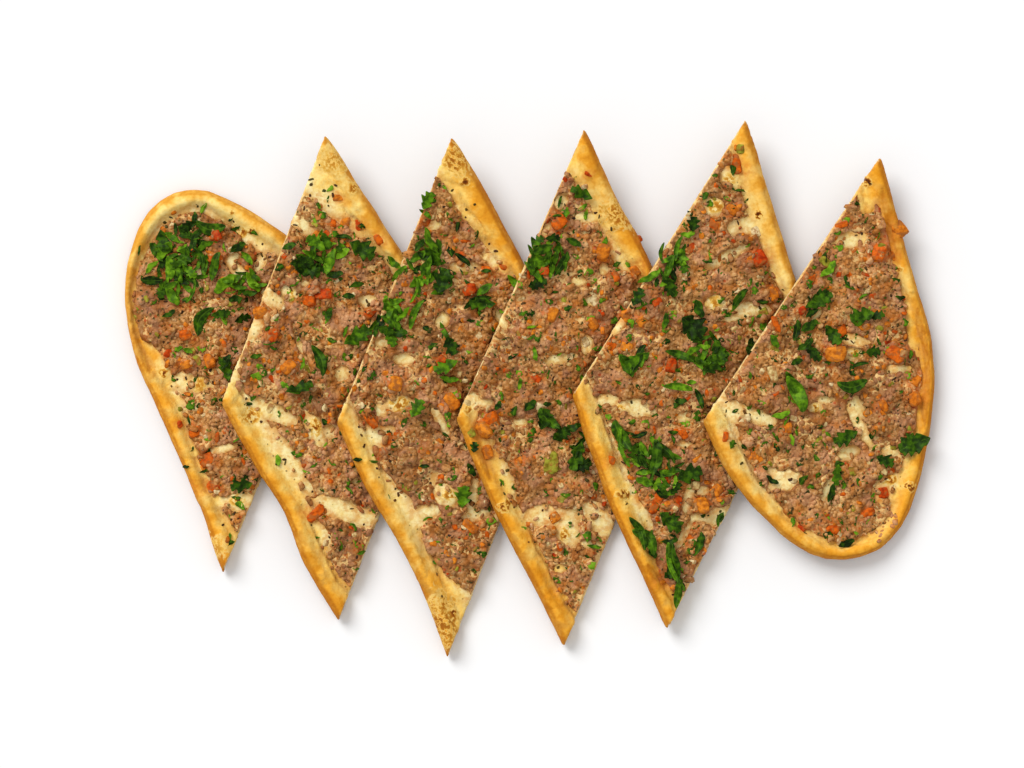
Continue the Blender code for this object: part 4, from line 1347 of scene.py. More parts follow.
class Shape:
    """A small solid that is modelled once and then repeated many times.

    Attributes:
        corners: its corners, about one unit across.
        faces: the corners of each face.
        rib: how near each corner is to its middle rib, from 0 to 1.
    """

    def __init__(self, obj: Object) -> None:
        """Read a modelled object, then remove it.

        Args:
            obj: the object.
        """
        self.corners = corners_of(obj)
        self.faces = [tuple(face.vertices) for face in obj.data.polygons]
        self.rib = np.zeros(len(self.corners))
        bpy.data.objects.remove(obj, do_unlink=True)


@contextmanager
def edited_cube(size: float) -> Iterator[Object]:
    """A new cube, whose mesh is worked on in edit mode.

    Args:
        size: how large it is.

    Yields:
        The cube.
    """
    bpy.ops.object.select_all(action="DESELECT")
    bpy.ops.mesh.primitive_cube_add(size=size)
    obj = bpy.context.active_object
    with editing():
        yield obj


def model_lump(seed: int, cuts: int, rough: float, soft: int = 0) -> Shape:
    """A rounded irregular lump, about one unit across.

    Args:
        seed: picks one lump out of many.
        cuts: how often each edge of the cube is divided.
        rough: how far its corners are shaken.
        soft: how often it is smoothed after that.

    Returns:
        The lump.
    """
    with edited_cube(0.8) as obj:
        bpy.ops.transform.vertex_random(offset=rough, seed=seed + 50)
        bpy.ops.mesh.subdivide(number_cuts=cuts, smoothness=0.6)
        bpy.ops.transform.vertex_random(offset=rough * 0.6, seed=seed)
        if soft:
            bpy.ops.mesh.vertices_smooth(factor=0.5, repeat=soft)
    return Shape(obj)


def model_chunk(seed: int) -> Shape:
    """An irregular chunk of a cooked vegetable, about one unit across, with edges a little rounded.

    Args:
        seed: picks one chunk out of many.

    Returns:
        The chunk.
    """
    with edited_cube(0.95) as obj:
        bpy.ops.mesh.subdivide(number_cuts=1)
        bpy.ops.transform.vertex_random(offset=0.24, seed=seed)
        bpy.ops.mesh.vertices_smooth(factor=0.45, repeat=1)
        bpy.ops.mesh.subdivide(number_cuts=2)
        bpy.ops.mesh.vertices_smooth(factor=0.5, repeat=3)
        bpy.ops.transform.vertex_random(offset=0.035, seed=seed)
    return Shape(obj)


@dataclass(frozen=True)
class LeafCut:
    """A piece of chopped parsley, laid flat.

    Attributes:
        wide: its half width, as a share of its length.
        lobes: how many lobes it has on a side.
        deep: how deep the gaps between them go, from 0 to 1.
        tip: how pointed its ends are, from 0 for a straight cut.
        bow: how far it bends sideways.
        sweep: how far its lobes point forward.
        fold: how steeply its halves rise from its rib.
        curl: how far its ends rise.
    """

    wide: float
    lobes: float
    deep: float
    tip: float
    bow: float
    sweep: float
    fold: float = 0.3
    curl: float = 0.1

    def half_width(self, along: np.ndarray, side: np.ndarray) -> np.ndarray:
        """How far the piece reaches from its rib.

        Args:
            along: the places along it, from 0 to 1.
            side: 1 on one side of the rib and -1 on the other.

        Returns:
            One half width for each place.
        """
        form = np.sin(math.pi * along.clip(0, 1) ** 0.8).clip(0, 1) ** self.tip
        tooth = (1 - np.abs((self.lobes * along + 0.2 * side + 0.1) % 1 * 2 - 1)) ** 0.75
        return self.wide * form * (1 - self.deep + self.deep * tooth) + 0.012

    def build(self, thick: float, steps: int, levels: int) -> Shape:
        """Model the piece.

        Args:
            thick: its thickness, as a share of its length.
            steps: how many faces it has along its length.
            levels: how often its faces are divided.

        Returns:
            The piece, one unit long from -X to +X.
        """
        bpy.ops.object.select_all(action="DESELECT")
        bpy.ops.mesh.primitive_grid_add(x_subdivisions=steps, y_subdivisions=2, size=1.0)
        obj = bpy.context.active_object
        points = corners_of(obj)
        side = np.sign(points[:, 1].round(3))
        width = self.half_width(points[:, 0] + 0.5, side) * np.abs(side)
        along = points[:, 0].copy()
        points[:, 1] = side * width + self.bow * np.cos(along * math.pi)
        points[:, 2] = self.fold * width + self.curl * (2 * along) ** 2 + 0.04 * np.sin(along * 9)
        points[:, 0] += self.sweep * width
        move_corners(obj, points)
        finish_with(obj, "SOLIDIFY", thickness=thick, offset=0.0)
        if levels:
            finish_with(obj, "SUBSURF", levels=levels, render_levels=levels)
        shape = Shape(obj)
        middle = self.bow * np.cos(shape.corners[:, 0] * math.pi)
        shape.rib = (1 - np.abs(shape.corners[:, 1] - middle) / 0.1).clip(0, 1)
        return shape


class Cut(Enum):
    """How the knife left a piece of parsley, with the forms that it may have as the numbers of a LeafCut."""

    WHOLE = (
        (0.44, 3.1, 0.7, 0.7, 0.03, 0.6), (0.36, 4.1, 0.6, 0.7, -0.05, 0.7),
        (0.48, 2.6, 0.72, 0.6, 0.05, 0.5),
    )
    PIECE = (
        (0.25, 1.2, 0.3, 0.8, 0.08, 0.5), (0.22, 1.8, 0.4, 0.8, -0.1, 0.8), (0.3, 1.3, 0.5, 0.6, 0.03, 0.4),
    )
    STRIP = (
        (0.14, 1.4, 0.2, 0.6, 0.06, 0.8, 0.5), (0.17, 2.2, 0.35, 0.7, -0.06, 0.9, 0.4),
        (0.12, 1.1, 0.15, 0.6, 0.12, 0.5, 0.6),
    )
    STALK = ((0.05, 1.0, 0.1, 0.1, 0.1, 0.0, 0.9, 0.0), (0.045, 1.0, 0.1, 0.1, -0.12, 0.0, 0.9, 0.0))


# The parsley that lies by itself, beside the CAD's heaps and leaves
LEAVES = {
    Cut.WHOLE: Leaf.each(
        (-141, 34.7, 9, 10, 0.5), (-103, 58.5, 11, 5, 0.3), (-75.5, 63.8, 13, -30, 0.45),
        (-98.8, 54.1, 9, -25, 0.4), (-45.5, 86, 9, 60, 0.75), (-42.5, 61.3, 11, -50, 0.5),
        (5, 48, 9, 20, 0.2), (12, 69, 7, 0, 0.2), (5.6, 67.2, 6, 40, 0.6), (15.8, -21.3, 9, 25, 0.35),
        (8.1, -14.2, 10, 70, 0.3), (76.6, 75.3, 7, 80, 0.25), (66.1, 47.8, 12, -60, 0.4),
        (51.3, 41.5, 9, 60, 0.3), (75.9, 28.1, 13, -40, 0.2), (88.6, 16.8, 12, -70, 0.5),
        (85.8, 10.5, 10, 30, 0.4), (75, -39.8, 12, 15, 0.4), (65.8, -61.6, 13, -40, 0.5),
        (66.5, -84.8, 8, 40, 0.3), (134.7, 42.8, 9, 20, 0.4), (141, 25.2, 11, -50, 0.45),
        (131.9, 16.8, 10, -45, 0.3), (160.8, 33, 8, 10, 0.35), (159.4, 16.8, 7, 0, 0.3),
        (165, -33.3, 9, -25, 0.35), (-131, 32.5, 8, 20, 0.35), (-35, 19.6, 9, -70, 0.25),
        (-38, 49, 12, 70, 0.35), (-23.6, -27, 5, 80, 0.3), (24.5, -35, 11, 15, 0.15),
        (68.6, -46, 7, 45, 0.35),
    ),
    Cut.PIECE: Leaf.each(
        (-129, 60, 8, -50, 0.9), (-163.4, 42.4, 10, -55, 0.85), (-149, -38, 4, 20, 0.4),
        (-165, 34.7, 7, 30, 0.3), (-156.4, 17.1, 5, -20, 1.0), (-108.6, 64.7, 7, 20, 0.35),
        (-60.7, 58.4, 8, -40, 0.75), (-98, 61, 9, 70, 0.55), (-102, 54, 9, -20, 0.35),
        (-60, 39.3, 7, 20, 0.8), (-78, 47.6, 7, 10, 0.35), (-58.5, 25.3, 8, 0, 0.3),
        (-124.1, 14.7, 5.5, 10, 0.6), (-40.3, 45, 8, 30, 0.5), (-81.8, 42.2, 6, 0, 0.3),
        (-90.4, 33.8, 7, 70, 0.5), (-19.1, 45, 9, 35, 0.65), (21.4, 66.6, 8, -25, 0.5),
        (8.5, 60.7, 6, 60, 0.45), (-35.6, 4.8, 9, -5, 0.85), (-25.6, 31.5, 4, 0, 0.2),
        (1.7, -7.9, 7, 40, 0.3), (9.5, -7.2, 4, 0, 0.25), (-13, -7.9, 5, 60, 0.35), (21.4, -18.4, 8, 20, 0.3),
        (17.9, -48.7, 5, 0, 0.75), (63, 30.8, 8, 80, 0.55), (81.6, 19.6, 6, 0, 1.0),
        (78.8, 36.5, 9, -70, 0.4), (73.8, 71, 7, 10, 0.95), (53.8, -38.9, 7, 0, 0.85),
        (62.3, -48, 7, -25, 0.15), (67.2, -19.8, 5, 0, 0.5), (65.8, -70, 8, 10, 0.3),
        (57.7, -75, 7, -70, 0.35), (116.5, -11.6, 9, 15, 0.95), (138.2, 54.8, 10, 50, 0.92),
        (113.6, 21.7, 7, -60, 0.75), (129.8, 28.7, 9, 30, 0.4), (127.7, 20.3, 9, 40, 0.35),
        (172, 42.1, 5, 0, 0.25), (103, 18.9, 9, 80, 0.15), (112.9, -41.8, 7, -30, 0.15),
        (139.6, -48.1, 9, 75, 0.3), (147.4, -71.3, 8, 20, 0.2), (131, 34.4, 7, 30, 0.2),
        (-47, -36, 5, 0, 0.2), (-25.6, -37.5, 7, -60, 0.3), (75.7, 2.6, 5, 0, 1.0), (70.7, -6, 6, 0, 0.25),
        (90.4, -59.5, 5, 75, 0.5), (-138, 12, 8, 60, 0.15), (61, 65, 7, 70, 0.2), (-18.6, 53.7, 5, 0, 0.3),
        (-77.5, -32.6, 4.5, 0, 0.3), (-133, 65, 8, 30, 0.3), (-157, -36, 3.5, 0, 0.2), (124, 12, 6, 20, 0.3),
        (45.4, 10.4, 12, -60, 0.6), (-88, 52, 8, 10, 0.3),
    ),
    Cut.STRIP: Leaf.each(
        (-178.2, 63.5, 5, 80, 0.5), (-153.6, 77.6, 8, 80, 0.35), (-123.5, 47.7, 8, 3, 0.75),
        (-58.6, 52.7, 10, 45, 0.85), (-44.3, 67.8, 13, -62, 0.75), (-36.8, 51.3, 10, -60, 0.5),
        (-50.2, 33.7, 15, 65, 0.8), (-68.5, 30.9, 12, 40, 0.55), (-60.5, 38, 9, -50, 0.8),
        (-95.6, 13.3, 9, -75, 0.5), (-102.9, 11.2, 6, 80, 0.85), (-29.6, 59, 9, -40, 0.15),
        (-5.6, 47.8, 11, -55, 0.88), (2.6, 53.1, 13, -50, 0.75), (-22.6, 39.6, 14, 20, 0.2),
        (15.5, 57.2, 13, 60, 0.35), (15.5, 85.4, 6, 75, 0.5), (4.2, 16.1, 7, -80, 0.85),
        (-3.5, 2, 6, 85, 0.9), (25, -27, 12, 60, 0.15), (-37.7, 26.6, 9, -60, 0.75),
        (56.2, 51.3, 12, 30, 0.8), (62.2, 62.6, 9, 80, 0.65), (70, 64, 12, 75, 0.7),
        (66.1, 55.5, 12, 70, 0.6), (97.8, 40.8, 12, 55, 0.45), (52, 13.5, 14, 66, 0.12),
        (70.3, 14.7, 14, -20, 0.5), (80.2, 13.3, 9, -60, 0.5), (69.4, 0.4, 14, -8, 0.88),
        (79.2, -4.5, 10, -70, 0.35), (58.8, -31.8, 17, 85, 0.5), (63, -29.7, 14, -45, 0.45),
        (51, -66.5, 17, -66, 0.5), (79.2, -71.4, 11, 75, 0.45), (70.7, -94.7, 14, 80, 0.6),
        (89.4, -60.5, 7, 72, 0.5), (121.3, 2, 13, -65, 0.6), (153, 10.4, 9, 15, 0.35),
        (123.4, 26.6, 10, 80, 0.3), (-143, 56, 14, 75, 0.5), (-151, 60, 11, -70, 0.5),
        (51.7, -21.3, 8, 20, 0.1), (49.6, -32.5, 9, -42, 0.5), (31.2, -72.6, 7, -8, 0.8),
        (-134.5, 74, 5, 20, 0.3), (-61, 72, 6, 60, 0.6), (-46.4, 80, 7, -40, 0.85),
    ),
    Cut.STALK: Leaf.each(
        (45.2, -27, 19, -76, 0.85), (69, -82, 24, -70, 0.8), (-132, -23.6, 7, 25, 0.6),
        (-118, 21, 6, 10, 0.6), (-155, 45, 12, 70, 0.7), (58, 60, 10, 20, 0.8), (-52, 45, 12, 75, 0.85),
    ),
}


def turned(corners: np.ndarray, facing: Vector, spin: float) -> np.ndarray:
    """Corners turned about up by an angle in radians, with up then laid along the way something faces."""
    lay = facing.to_track_quat("Z", "Y").to_matrix() @ Matrix.Rotation(spin, 3, "Z")
    return corners @ np.array(lay).T


class Heap:
    """Many small solids gathered into one mesh.

    Attributes:
        rng: the source of chance for them.
    """

    def __init__(self, seed: int) -> None:
        """Start with nothing.

        Args:
            seed: picks one run of chance out of many.
        """
        self.rng = random.Random(seed)
        self.corners = []
        self.faces = []
        self.marks = {}
        self.count = 0

    def add(self, shape: Shape, corners: np.ndarray, **marks: float | np.ndarray) -> None:
        """Add a solid.

        Args:
            shape: the shape whose faces it has.
            corners: where its corners are.
            **marks: the numbers that its material reads, one or one to a corner.
        """
        self.corners.append(corners)
        self.faces += [tuple(self.count + i for i in face) for face in shape.faces]
        self.count += len(corners)
        for name, value in marks.items():
            self.marks.setdefault(name, []).append(np.broadcast_to(value, len(corners)))

    def build(self, name: str) -> Object:
        """Make the object.

        Args:
            name: its name.

        Returns:
            The object with all the solids.
        """
        data = bpy.data.meshes.new(name)
        data.from_pydata(np.vstack(self.corners).tolist(), [], self.faces)
        obj = bpy.data.objects.new(name, data)
        bpy.context.scene.collection.objects.link(obj)
        mark(obj, **{mark_name: np.concatenate(values) for mark_name, values in self.marks.items()})
        return obj


class Ground:
    """Fine surfaces, for laying things on them from above."""

    def __init__(self, *pieces: Object) -> None:
        """Take the surfaces of some pieces; those of a single slice begin with its mince and its dough."""
        self.trees = [tree_of(obj) for obj in pieces]

    def drop(self, x: float, y: float) -> Landing | None:
        """Where something let down at a place lands.

        Args:
            x: the place along the row.
            y: the place across it.

        Returns:
            The landing, or None beside the food.
        """
        best = None
        for i, tree in enumerate(self.trees):
            point, facing, _, _ = tree.ray_cast(Vector((x, y, DROP_FROM)), DOWN)
            if point is not None and (best is None or point.z > best[0].z):
                best = (point, facing, i)
        return best

    def spots(self, plan: SlicePlan, step: float, rng: random.Random) -> list[Landing]:
        """Shaken, even places on a slice, inside its crust, that no other slice covers.

        Args:
            plan: the slice.
            step: how far apart they are.
            rng: the source of chance.

        Returns:
            The landings there.
        """
        low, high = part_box(plan.node("bread"))
        landed = [self.drop(x, y) for x, y in honeycomb(low, high, step, rng)]
        found = [spot for spot in landed if spot is not None]
        places = np.array([spot[0] for spot in found])
        least = np.where(inside(SPILT, places) > 0, INSIDE_SPILT, INSIDE_CRUST)
        free = plan.room_above(places) * (plan.from_crust(places) > least)
        free *= plan.from_cuts(places) > INSIDE_CUT
        return [spot for spot, wanted in zip(found, free) if wanted]


def honeycomb(low: Vector, high: Vector, step: float, rng: random.Random) -> Iterator[tuple[float, float]]:
    """The places of a shaken honeycomb over a box, seen from above.

    Args:
        low: the box's lowest corner.
        high: its highest corner.
        step: how far apart the places are.
        rng: the source of chance.

    Yields:
        The places.
    """
    row_step = step * math.sqrt(3) / 2
    for row in range(int((high[1] - low[1]) / row_step) + 1):
        for column in range(int((high[0] - low[0]) / step) + 1):
            x = low[0] + (column + row % 2 / 2 + rng.uniform(-SHAKE, SHAKE)) * step
            y = low[1] + row * row_step + rng.uniform(-SHAKE, SHAKE) * step
            yield x, y


@dataclass
class Crumbs:
    """Loose granules of mince on a slice, and a few on the dough beside it.

    Attributes:
        plan: the slice.
        step: how far apart they are.
        stray: how far from the mince a crumb may lie on the dough.
        strays: how many of the places there have one.
        bare_from: how naked the places are where crumbs are rarer and lie higher.
        dropped: how many of those are left out.
        raised: how much higher the others lie, as a share of their size.
    """

    plan: SlicePlan
    step: float = 2.6 * MM
    stray: float = 2.5 * MM
    strays: float = 0.16
    bare_from: float = 0.3
    dropped: float = 0.5
    raised: float = 0.3

    def build(self, ground: Ground, lumps: list[Shape]) -> Object:
        """Scatter the crumbs.

        Args:
            ground: the slice's mince and dough.
            lumps: the shapes that a crumb may have.

        Returns:
            The piece with all crumbs.
        """
        heap = Heap(300 + self.plan.number)
        rng = heap.rng
        places = ground.spots(self.plan, self.step, rng)
        points = np.array([point for point, _, _ in places])
        bare = naked(bareness(points)) > self.bare_from
        spilt = inside(SPILT, points) > 0
        for (point, facing, layer), open_dough, over_crust in zip(places, bare, spilt):
            stray = (layer == 1 or open_dough) and not over_crust
            if stray and (rng.random() > self.strays or not self.near_mince(ground, point)):
                continue
            if open_dough and rng.random() < self.dropped:
                continue
            size = rng.triangular(0.9, 3.2, 1.5) * MM
            stretch = np.array([rng.uniform(0.9, 1.7), rng.uniform(0.6, 1.1), rng.uniform(0.45, 0.75)])
            lump = rng.choice(lumps)
            corners = turned(lump.corners * stretch * size, facing, rng.uniform(0, math.tau))
            # The low side of each crumb gets the mince's painted hollow shade
            relief = (lump.corners[:, 2] + 0.45).clip(0, 1)
            sunk = rng.uniform(0.05, 0.25) - (self.raised if open_dough else 0.0)
            corners += np.array(point - facing * size * sunk)
            heap.add(lump, corners, grain=rng.uniform(0.1, 1), relief=relief, edge=0.0, bare=0.0, stain=0.0)
        return heap.build(self.plan.node("crumbs"))

    def near_mince(self, ground: Ground, point: Vector) -> bool:
        """Whether a point of the dough lies close beside the mince."""
        return ground.trees[0].find_nearest(point + UP * MM, self.stray)[0] is not None


@dataclass
class Vegetables:
    """The diced vegetables on the row, and the small bits of them among the mince.

    Attributes:
        flat: how high a dice is for its width.
        sunk: how much of its height is in the mince.
        bit_step: how far apart the small bits are.
        bits: how many of those places have one.
        on_dough: how many of these are kept where they lie on the dough.
        mixed: the kinds of the bits, each as often as it has a share in them.
    """

    flat: float = 0.55
    sunk: float = 0.22
    bit_step: float = 4.6 * MM
    bits: float = 0.3
    on_dough: float = 0.15
    mixed: tuple[Kind, ...] = (
        *[Kind.CARROT] * 4, *[Kind.ONION] * 2, Kind.RED_PEPPER, Kind.TOMATO, Kind.GREEN_PEPPER,
    )

    def build(self, ground: Ground, shapes: list[Shape]) -> Object:
        """Lay the named dice.

        Args:
            ground: the surfaces they lie on.
            shapes: the shapes that a dice may have.

        Returns:
            The piece with all of them.
        """
        heap = Heap(41)
        for kind, spot in [(kind, spot) for kind, dice in DICE.items() for spot in dice]:
            landed = ground.drop(*spot.on_row())
            if landed is None:
                continue
            point, facing, _ = landed
            size = np.array([2.1 * spot.long, 2.1 * spot.wide, 2 * self.flat * spot.wide]) * MM
            shape = heap.rng.choice(shapes)
            flatter = (facing + UP * 2).normalized()
            corners = turned(shape.corners * size, flatter, math.radians(spot.turn))
            place = np.array(point) - (0, 0, self.sunk * size[2])
            heap.add(shape, corners + place, tint=kind.value + heap.rng.uniform(-TINT_SPREAD, TINT_SPREAD))
        return heap.build("diced_vegetables")

    def build_bits(self, ground: Ground, plan: SlicePlan, shapes: list[Shape]) -> Object:
        """Scatter small bits over a slice.

        Args:
            ground: the slice's own mince and dough.
            plan: the slice.
            shapes: the shapes that a bit may have.

        Returns:
            The piece with all bits.
        """
        heap = Heap(60 + plan.number)
        rng = heap.rng
        for point, facing, layer in ground.spots(plan, self.bit_step, rng):
            if rng.random() > self.bits or (layer == 1 and rng.random() > self.on_dough):
                continue
            size = [rng.triangular(1.8, 5.0, 2.6), rng.uniform(1.4, 2.8), rng.uniform(0.8, 1.4)]
            size = np.array(size) * MM
            shape = rng.choice(shapes)
            corners = turned(shape.corners * size, facing, rng.uniform(0, math.tau))
            tint = rng.choice(self.mixed).value + rng.uniform(-TINT_SPREAD, TINT_SPREAD)
            heap.add(shape, corners + np.array(point - facing * size[2] * 0.2), tint=tint)
        return heap.build(plan.node("bits"))


@dataclass
class DarkHerbs:
    """Specks of dried herbs and pepper that baked dark, on a slice.

    Attributes:
        plan: the slice.
        step: how far apart they are.
        share: how many of those places have one.
        fewer: how much rarer they are on the dough.
    """

    plan: SlicePlan
    step: float = 4.0 * MM
    share: float = 0.18
    fewer: float = 0.2

    def build(self, ground: Ground, lumps: list[Shape]) -> Object:
        """Scatter the specks.

        Args:
            ground: the slice's own mince and dough.
            lumps: the shapes that a speck may have.

        Returns:
            The piece with all specks.
        """
        heap = Heap(900 + self.plan.number)
        rng = heap.rng
        for point, facing, layer in ground.spots(self.plan, self.step, rng):
            if rng.random() > self.share * (1 - self.fewer * layer):
                continue
            size = np.array([rng.uniform(0.8, 2.4), rng.uniform(0.6, 1.3), rng.uniform(0.3, 0.5)]) * MM
            lump = rng.choice(lumps)
            corners = turned(lump.corners * size, facing, rng.uniform(0, math.tau))
            heap.add(lump, corners + np.array(point), tint=rng.random())
        return heap.build(self.plan.node("dark_herbs"))


def model_leaves(thick: float, steps: int, levels: int) -> dict[Cut, list[Shape]]:
    """The forms of parsley by their cut, each modelled once, with sizes as LeafCut.build() takes them."""
    return {cut: [LeafCut(*numbers).build(thick, steps, levels) for numbers in cut.value] for cut in Cut}


class LeafHeap(Heap):
    """Pieces of parsley that are laid on something one by one.

    Attributes:
        ground: the surfaces they lie on.
        shapes: the forms that they may have.
    """

    def __init__(self, seed: int, ground: Ground, shapes: dict[Cut, list[Shape]]) -> None:
        """Start with no leaves.

        Args:
            seed: picks one run of chance out of many.
            ground: the surfaces they lie on.
            shapes: the forms that they may have.
        """
        super().__init__(seed)
        self.ground = ground
        self.shapes = shapes

    def pick(self, *cuts: Cut) -> Shape:
        """One of the forms of one of the cuts, by chance."""
        return self.rng.choice(self.shapes[self.rng.choice(cuts)])

    def lay(self, shape: Shape, place: np.ndarray, length: float, turn: float,
            lift: float = 0.0, wider: float = 1.0, tint: float | None = None) -> None:
        """Lay one leaf so that it partly follows what is under it.

        Args:
            shape: the leaf's shape.
            place: its middle, seen from above.
            length: its length.
            turn: its turn in radians.
            lift: how far it is held up over that.
            wider: how much wider it is than its shape.
            tint: its green, or None for any.
        """
        landed = self.ground.drop(*place)
        if landed is None:
            return
        rng = self.rng
        corners = shape.corners * (length, length * wider * rng.uniform(0.85, 1.15), length)
        along = corners[:, 0].copy()
        half = np.ptp(corners[:, 1]) / 3
        roll = Matrix.Rotation(rng.gauss(0, 0.25), 3, "X")
        spin = np.array(Matrix.Rotation(turn, 3, "Z"))
        corners = corners @ (spin @ np.array(roll)).T
        corners[:, 2] -= corners[:, 2].min()
        corners[:, :2] += place
        stations = np.linspace(along.min(), along.max(), 5)
        levels = []
        for station in stations:
            beside = [place + (spin @ (station, side, 0))[:2] for side in (-half, 0, half)]
            under = [found[0].z for found in (self.ground.drop(*spot) for spot in beside) if found]
            levels.append(max(under, default=landed[0].z))
        corners[:, 2] += 0.7 * np.interp(along, stations, levels) + 0.3 * landed[0].z + lift - 0.3 * MM
        if tint is None:
            tint = 0.88 if rng.random() < 0.06 else min(max(rng.gauss(0.43, 0.16), 0.16), 0.75)
        self.add(shape, corners, tint=tint, rib=shape.rib)


@dataclass
class Parsley:
    """The chopped parsley of a slice: leaves where the CAD has its heaps and single leaves, and small flecks.

    Attributes:
        plan: the slice.
        leaf_area: how much of a heap's plan each of its leaves stands for.
        slender: how wide for its length a single leaf is at least, or else it is a strip.
        fleck_step: how far apart the flecks are.
        flecks: how many of those places have one.
        on_dough: how many of these are kept where they lie on the dough.
    """

    plan: SlicePlan
    leaf_area: float = 17.0 * MM * MM
    slender: float = 0.48
    fleck_step: float = 5.0 * MM
    flecks: float = 0.45
    on_dough: float = 0.3

    def build(self, ground: Ground, shapes: dict[Cut, list[Shape]]) -> Object:
        """Lay the leaves.

        Args:
            ground: the surfaces they lie on.
            shapes: the forms that a leaf may have.

        Returns:
            The piece, which stands for the CAD nodes that nodes() lists.
        """
        heap = LeafHeap(500 + self.plan.number, ground, shapes)
        rng = heap.rng
        for node in self.nodes():
            points = corners_of(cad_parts[node])[:, :2]
            middle = (points.max(axis=0) + points.min(axis=0)) / 2
            spread = np.linalg.svd(points - points.mean(axis=0), full_matrices=False)[2]
            across = (points - middle) @ spread.T
            half = (across.max(axis=0) - across.min(axis=0)) / 2
            turn = math.atan2(spread[0][1], spread[0][0])
            if "leaf" in node:
                shape = heap.pick(Cut.STRIP if half[1] < self.slender * half[0] else Cut.WHOLE)
                wider = half[1] / half[0] / np.ptp(shape.corners[:, 1])
                tint = rng.uniform(0.25, 0.55)
                heap.lay(shape, middle, 2.1 * half[0], turn, SINGLE_LIFT, wider, tint)
                continue
            count = round(math.pi * half[0] * half[1] / self.leaf_area)
            for i in range(count):
                reach = math.sqrt((i + 0.5) / count)
                angle = i * GOLDEN_TURN
                place = middle + np.array([math.cos(angle), math.sin(angle)]) * half * reach @ spread
                length = rng.triangular(4.5, 13.0, 7.0) * MM
                way = turn + rng.gauss(0, 0.9)
                shape = heap.pick(Cut.WHOLE, Cut.PIECE, Cut.PIECE, Cut.PIECE, Cut.STRIP, Cut.STRIP)
                heap.lay(shape, place, length, way, rng.uniform(0, 1.0) * MM)
        return heap.build(self.plan.node("parsley_leaves"))

    def build_flecks(self, ground: Ground, shapes: dict[Cut, list[Shape]]) -> Object:
        """Scatter small flecks of parsley over the slice.

        Args:
            ground: the slice's own mince and dough.
            shapes: the forms that a fleck may have.

        Returns:
            The piece with all flecks.
        """
        heap = LeafHeap(700 + self.plan.number, ground, shapes)
        rng = heap.rng
        for point, _, layer in ground.spots(self.plan, self.fleck_step, rng):
            if rng.random() > self.flecks or (layer == 1 and rng.random() > self.on_dough):
                continue
            length = rng.triangular(1.8, 6.0, 2.6) * MM
            turn = rng.uniform(0, math.tau)
            heap.lay(heap.pick(Cut.WHOLE, Cut.PIECE, Cut.STRIP), np.array(point[:2]), length, turn)
        return heap.build(self.plan.node("parsley_flecks"))

    def nodes(self) -> list[str]:
        """The slice's CAD nodes of parsley."""
        starts = (self.plan.node("parsley"), self.plan.node("leaf"))
        return [name for name in sorted(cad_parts) if name.startswith(starts)]


def build_small_leaves(ground: Ground, shapes: dict[Cut, list[Shape]]) -> Object:
    """Lay the pieces of parsley that lie by themselves.

    Args:
        ground: the surfaces of all slices.
        shapes: the forms that a leaf may have.

    Returns:
        The piece with all of them.
    """
    heap = LeafHeap(77, ground, shapes)
    for cut, leaves in LEAVES.items():
        for leaf in leaves:
            turn = math.radians(leaf.turn)
            tint = SINGLE_SHADE * leaf.tint
            heap.lay(heap.pick(cut), leaf.on_row(), leaf.length * MM, turn, SINGLE_LIFT, tint=tint)
    return heap.build("small_parsley_leaves")


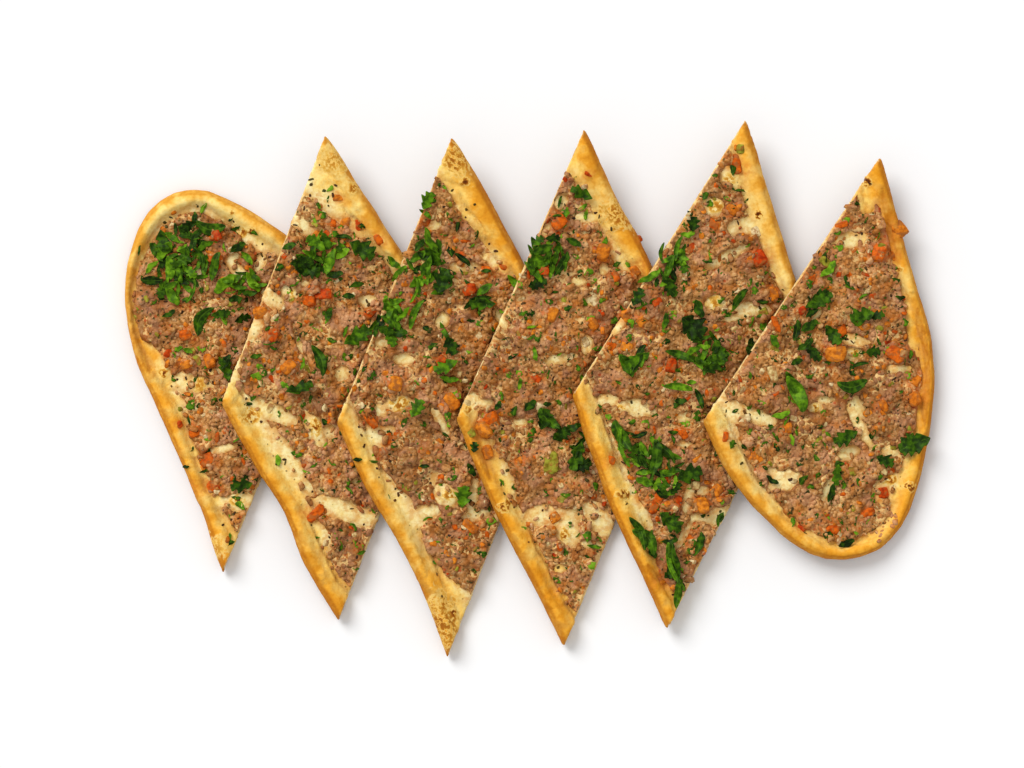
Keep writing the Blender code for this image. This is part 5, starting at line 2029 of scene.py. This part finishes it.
@dataclass
class Studio:
    """The pale ground, the soft light from the upper left and the camera over the middle of the row.

    Attributes:
        sky: how bright the light from all round is.
        key: how bright the light from the upper left is.
        key_soft: how wide that light is, in degrees.
        key_tilt: how far it is tilted from straight down, in degrees.
        key_side: the direction that it comes from, in degrees from +X.
        reach: how far the ground goes.
        gap: how far under the slices it lies.
    """

    sky: float = 0.6
    key: float = 2.2
    key_soft: float = 34.0
    key_tilt: float = 46.0
    key_side: float = 128.0
    reach: float = 8.0
    gap: float = 0.05 * MM

    def build(self) -> None:
        """Make the ground, the lights and the camera."""
        self.build_ground()
        self.build_lights()
        self.build_camera()

    def build_ground(self) -> None:
        """Make the pale ground just under the slices."""
        bpy.ops.object.select_all(action="DESELECT")
        bpy.ops.mesh.primitive_circle_add(
            vertices=64, radius=self.reach, fill_type="NGON", location=(0, 0, -self.gap)
        )
        ground = bpy.context.active_object
        ground.name = "ground"
        bpy.ops.object.transform_apply(location=True, rotation=True, scale=True)
        ground.data.materials.append(TableFinish().build())

    def build_lights(self) -> None:
        """Make the light from all round and the one from the upper left."""
        world = bpy.data.worlds.new("studio")
        world.use_nodes = True
        sky = world.node_tree.nodes["Background"].inputs
        sky["Color"].default_value = (1.0, 1.0, 1.0, 1.0)
        sky["Strength"].default_value = self.sky
        bpy.context.scene.world = world
        bpy.ops.object.light_add(type="SUN", location=(-1, 1, 2))
        lamp = bpy.context.active_object
        lamp.name = "key light"
        lamp.data.energy = self.key
        lamp.data.angle = math.radians(self.key_soft)
        side = math.radians(self.key_side)
        tilt = math.radians(self.key_tilt)
        source = Vector((math.sin(tilt) * math.cos(side), math.sin(tilt) * math.sin(side), math.cos(tilt)))
        lamp.rotation_euler = source.to_track_quat("Z", "Y").to_euler()

    def build_camera(self) -> None:
        """Make the camera, which looks straight down and frames the photo's view."""
        distance = CAMERA_HEIGHT - VIEW_LEVEL
        bpy.ops.object.camera_add(location=(*VIEW_MIDDLE, CAMERA_HEIGHT), rotation=(0, 0, 0))
        camera = bpy.context.active_object
        camera.data.sensor_width = SENSOR_WIDTH
        camera.data.lens = SENSOR_WIDTH * distance / VIEW_WIDTH
        camera.data.clip_end = 100.0
        bpy.context.scene.camera = camera
        bpy.context.scene.view_settings.view_transform = "Standard"


def build_food() -> None:
    """Build the slices and all that lies on them."""
    finishes = (DoughFinish(), MinceFinish(), VegetableFinish(), LeafFinish(), CharFinish())
    dough_look, mince_look, vegetable_look, leaf_look, char_look = (finish.build() for finish in finishes)
    lumps = [model_lump(seed, 1, 0.24) for seed in range(9)]
    soft_lumps = [model_lump(seed, 2, 0.2, 1) for seed in range(6)]
    leaves = model_leaves(0.03, 18, 1)
    flecks = model_leaves(0.05, 5, 0)
    surfaces = []
    for plan in [SlicePlan(number) for number in range(1, SLICE_COUNT + 1)]:
        dough = Dough(plan).build()
        dress(dough, dough_look, Slot.BREAD, plan.node("bread"))
        mince = Mince(plan).build()
        dress(mince, mince_look, Slot.BEEF, plan.node("beef"))
        base = Ground(mince, dough)
        crumbs = Crumbs(plan).build(base, lumps)
        dress(crumbs, mince_look, Slot.BEEF)
        bits = Vegetables().build_bits(base, plan, soft_lumps)
        dress(bits, vegetable_look, Slot.BEEF)
        dress(DarkHerbs(plan).build(base, lumps), char_look, Slot.BEEF)
        parsley = Parsley(plan)
        dress(parsley.build_flecks(base, flecks), leaf_look, Slot.PARSLEY)
        pieces = [mince, dough, crumbs, bits]
        dress(parsley.build(Ground(*pieces), leaves), leaf_look, Slot.PARSLEY, *parsley.nodes())
        surfaces += pieces
    row = Ground(*surfaces)
    dice = Vegetables().build(row, [model_chunk(seed) for seed in range(9)])
    dress(dice, vegetable_look, Slot.BEEF)
    dress(build_small_leaves(row, leaves), leaf_look, Slot.PARSLEY)


def main() -> None:
    """Build the food and the studio; each food piece's number of faces is logged."""
    logging.basicConfig(level=logging.INFO, format="%(name)s: %(message)s")
    build_food()
    Studio().build()


if __name__ == "__main__":
    main()
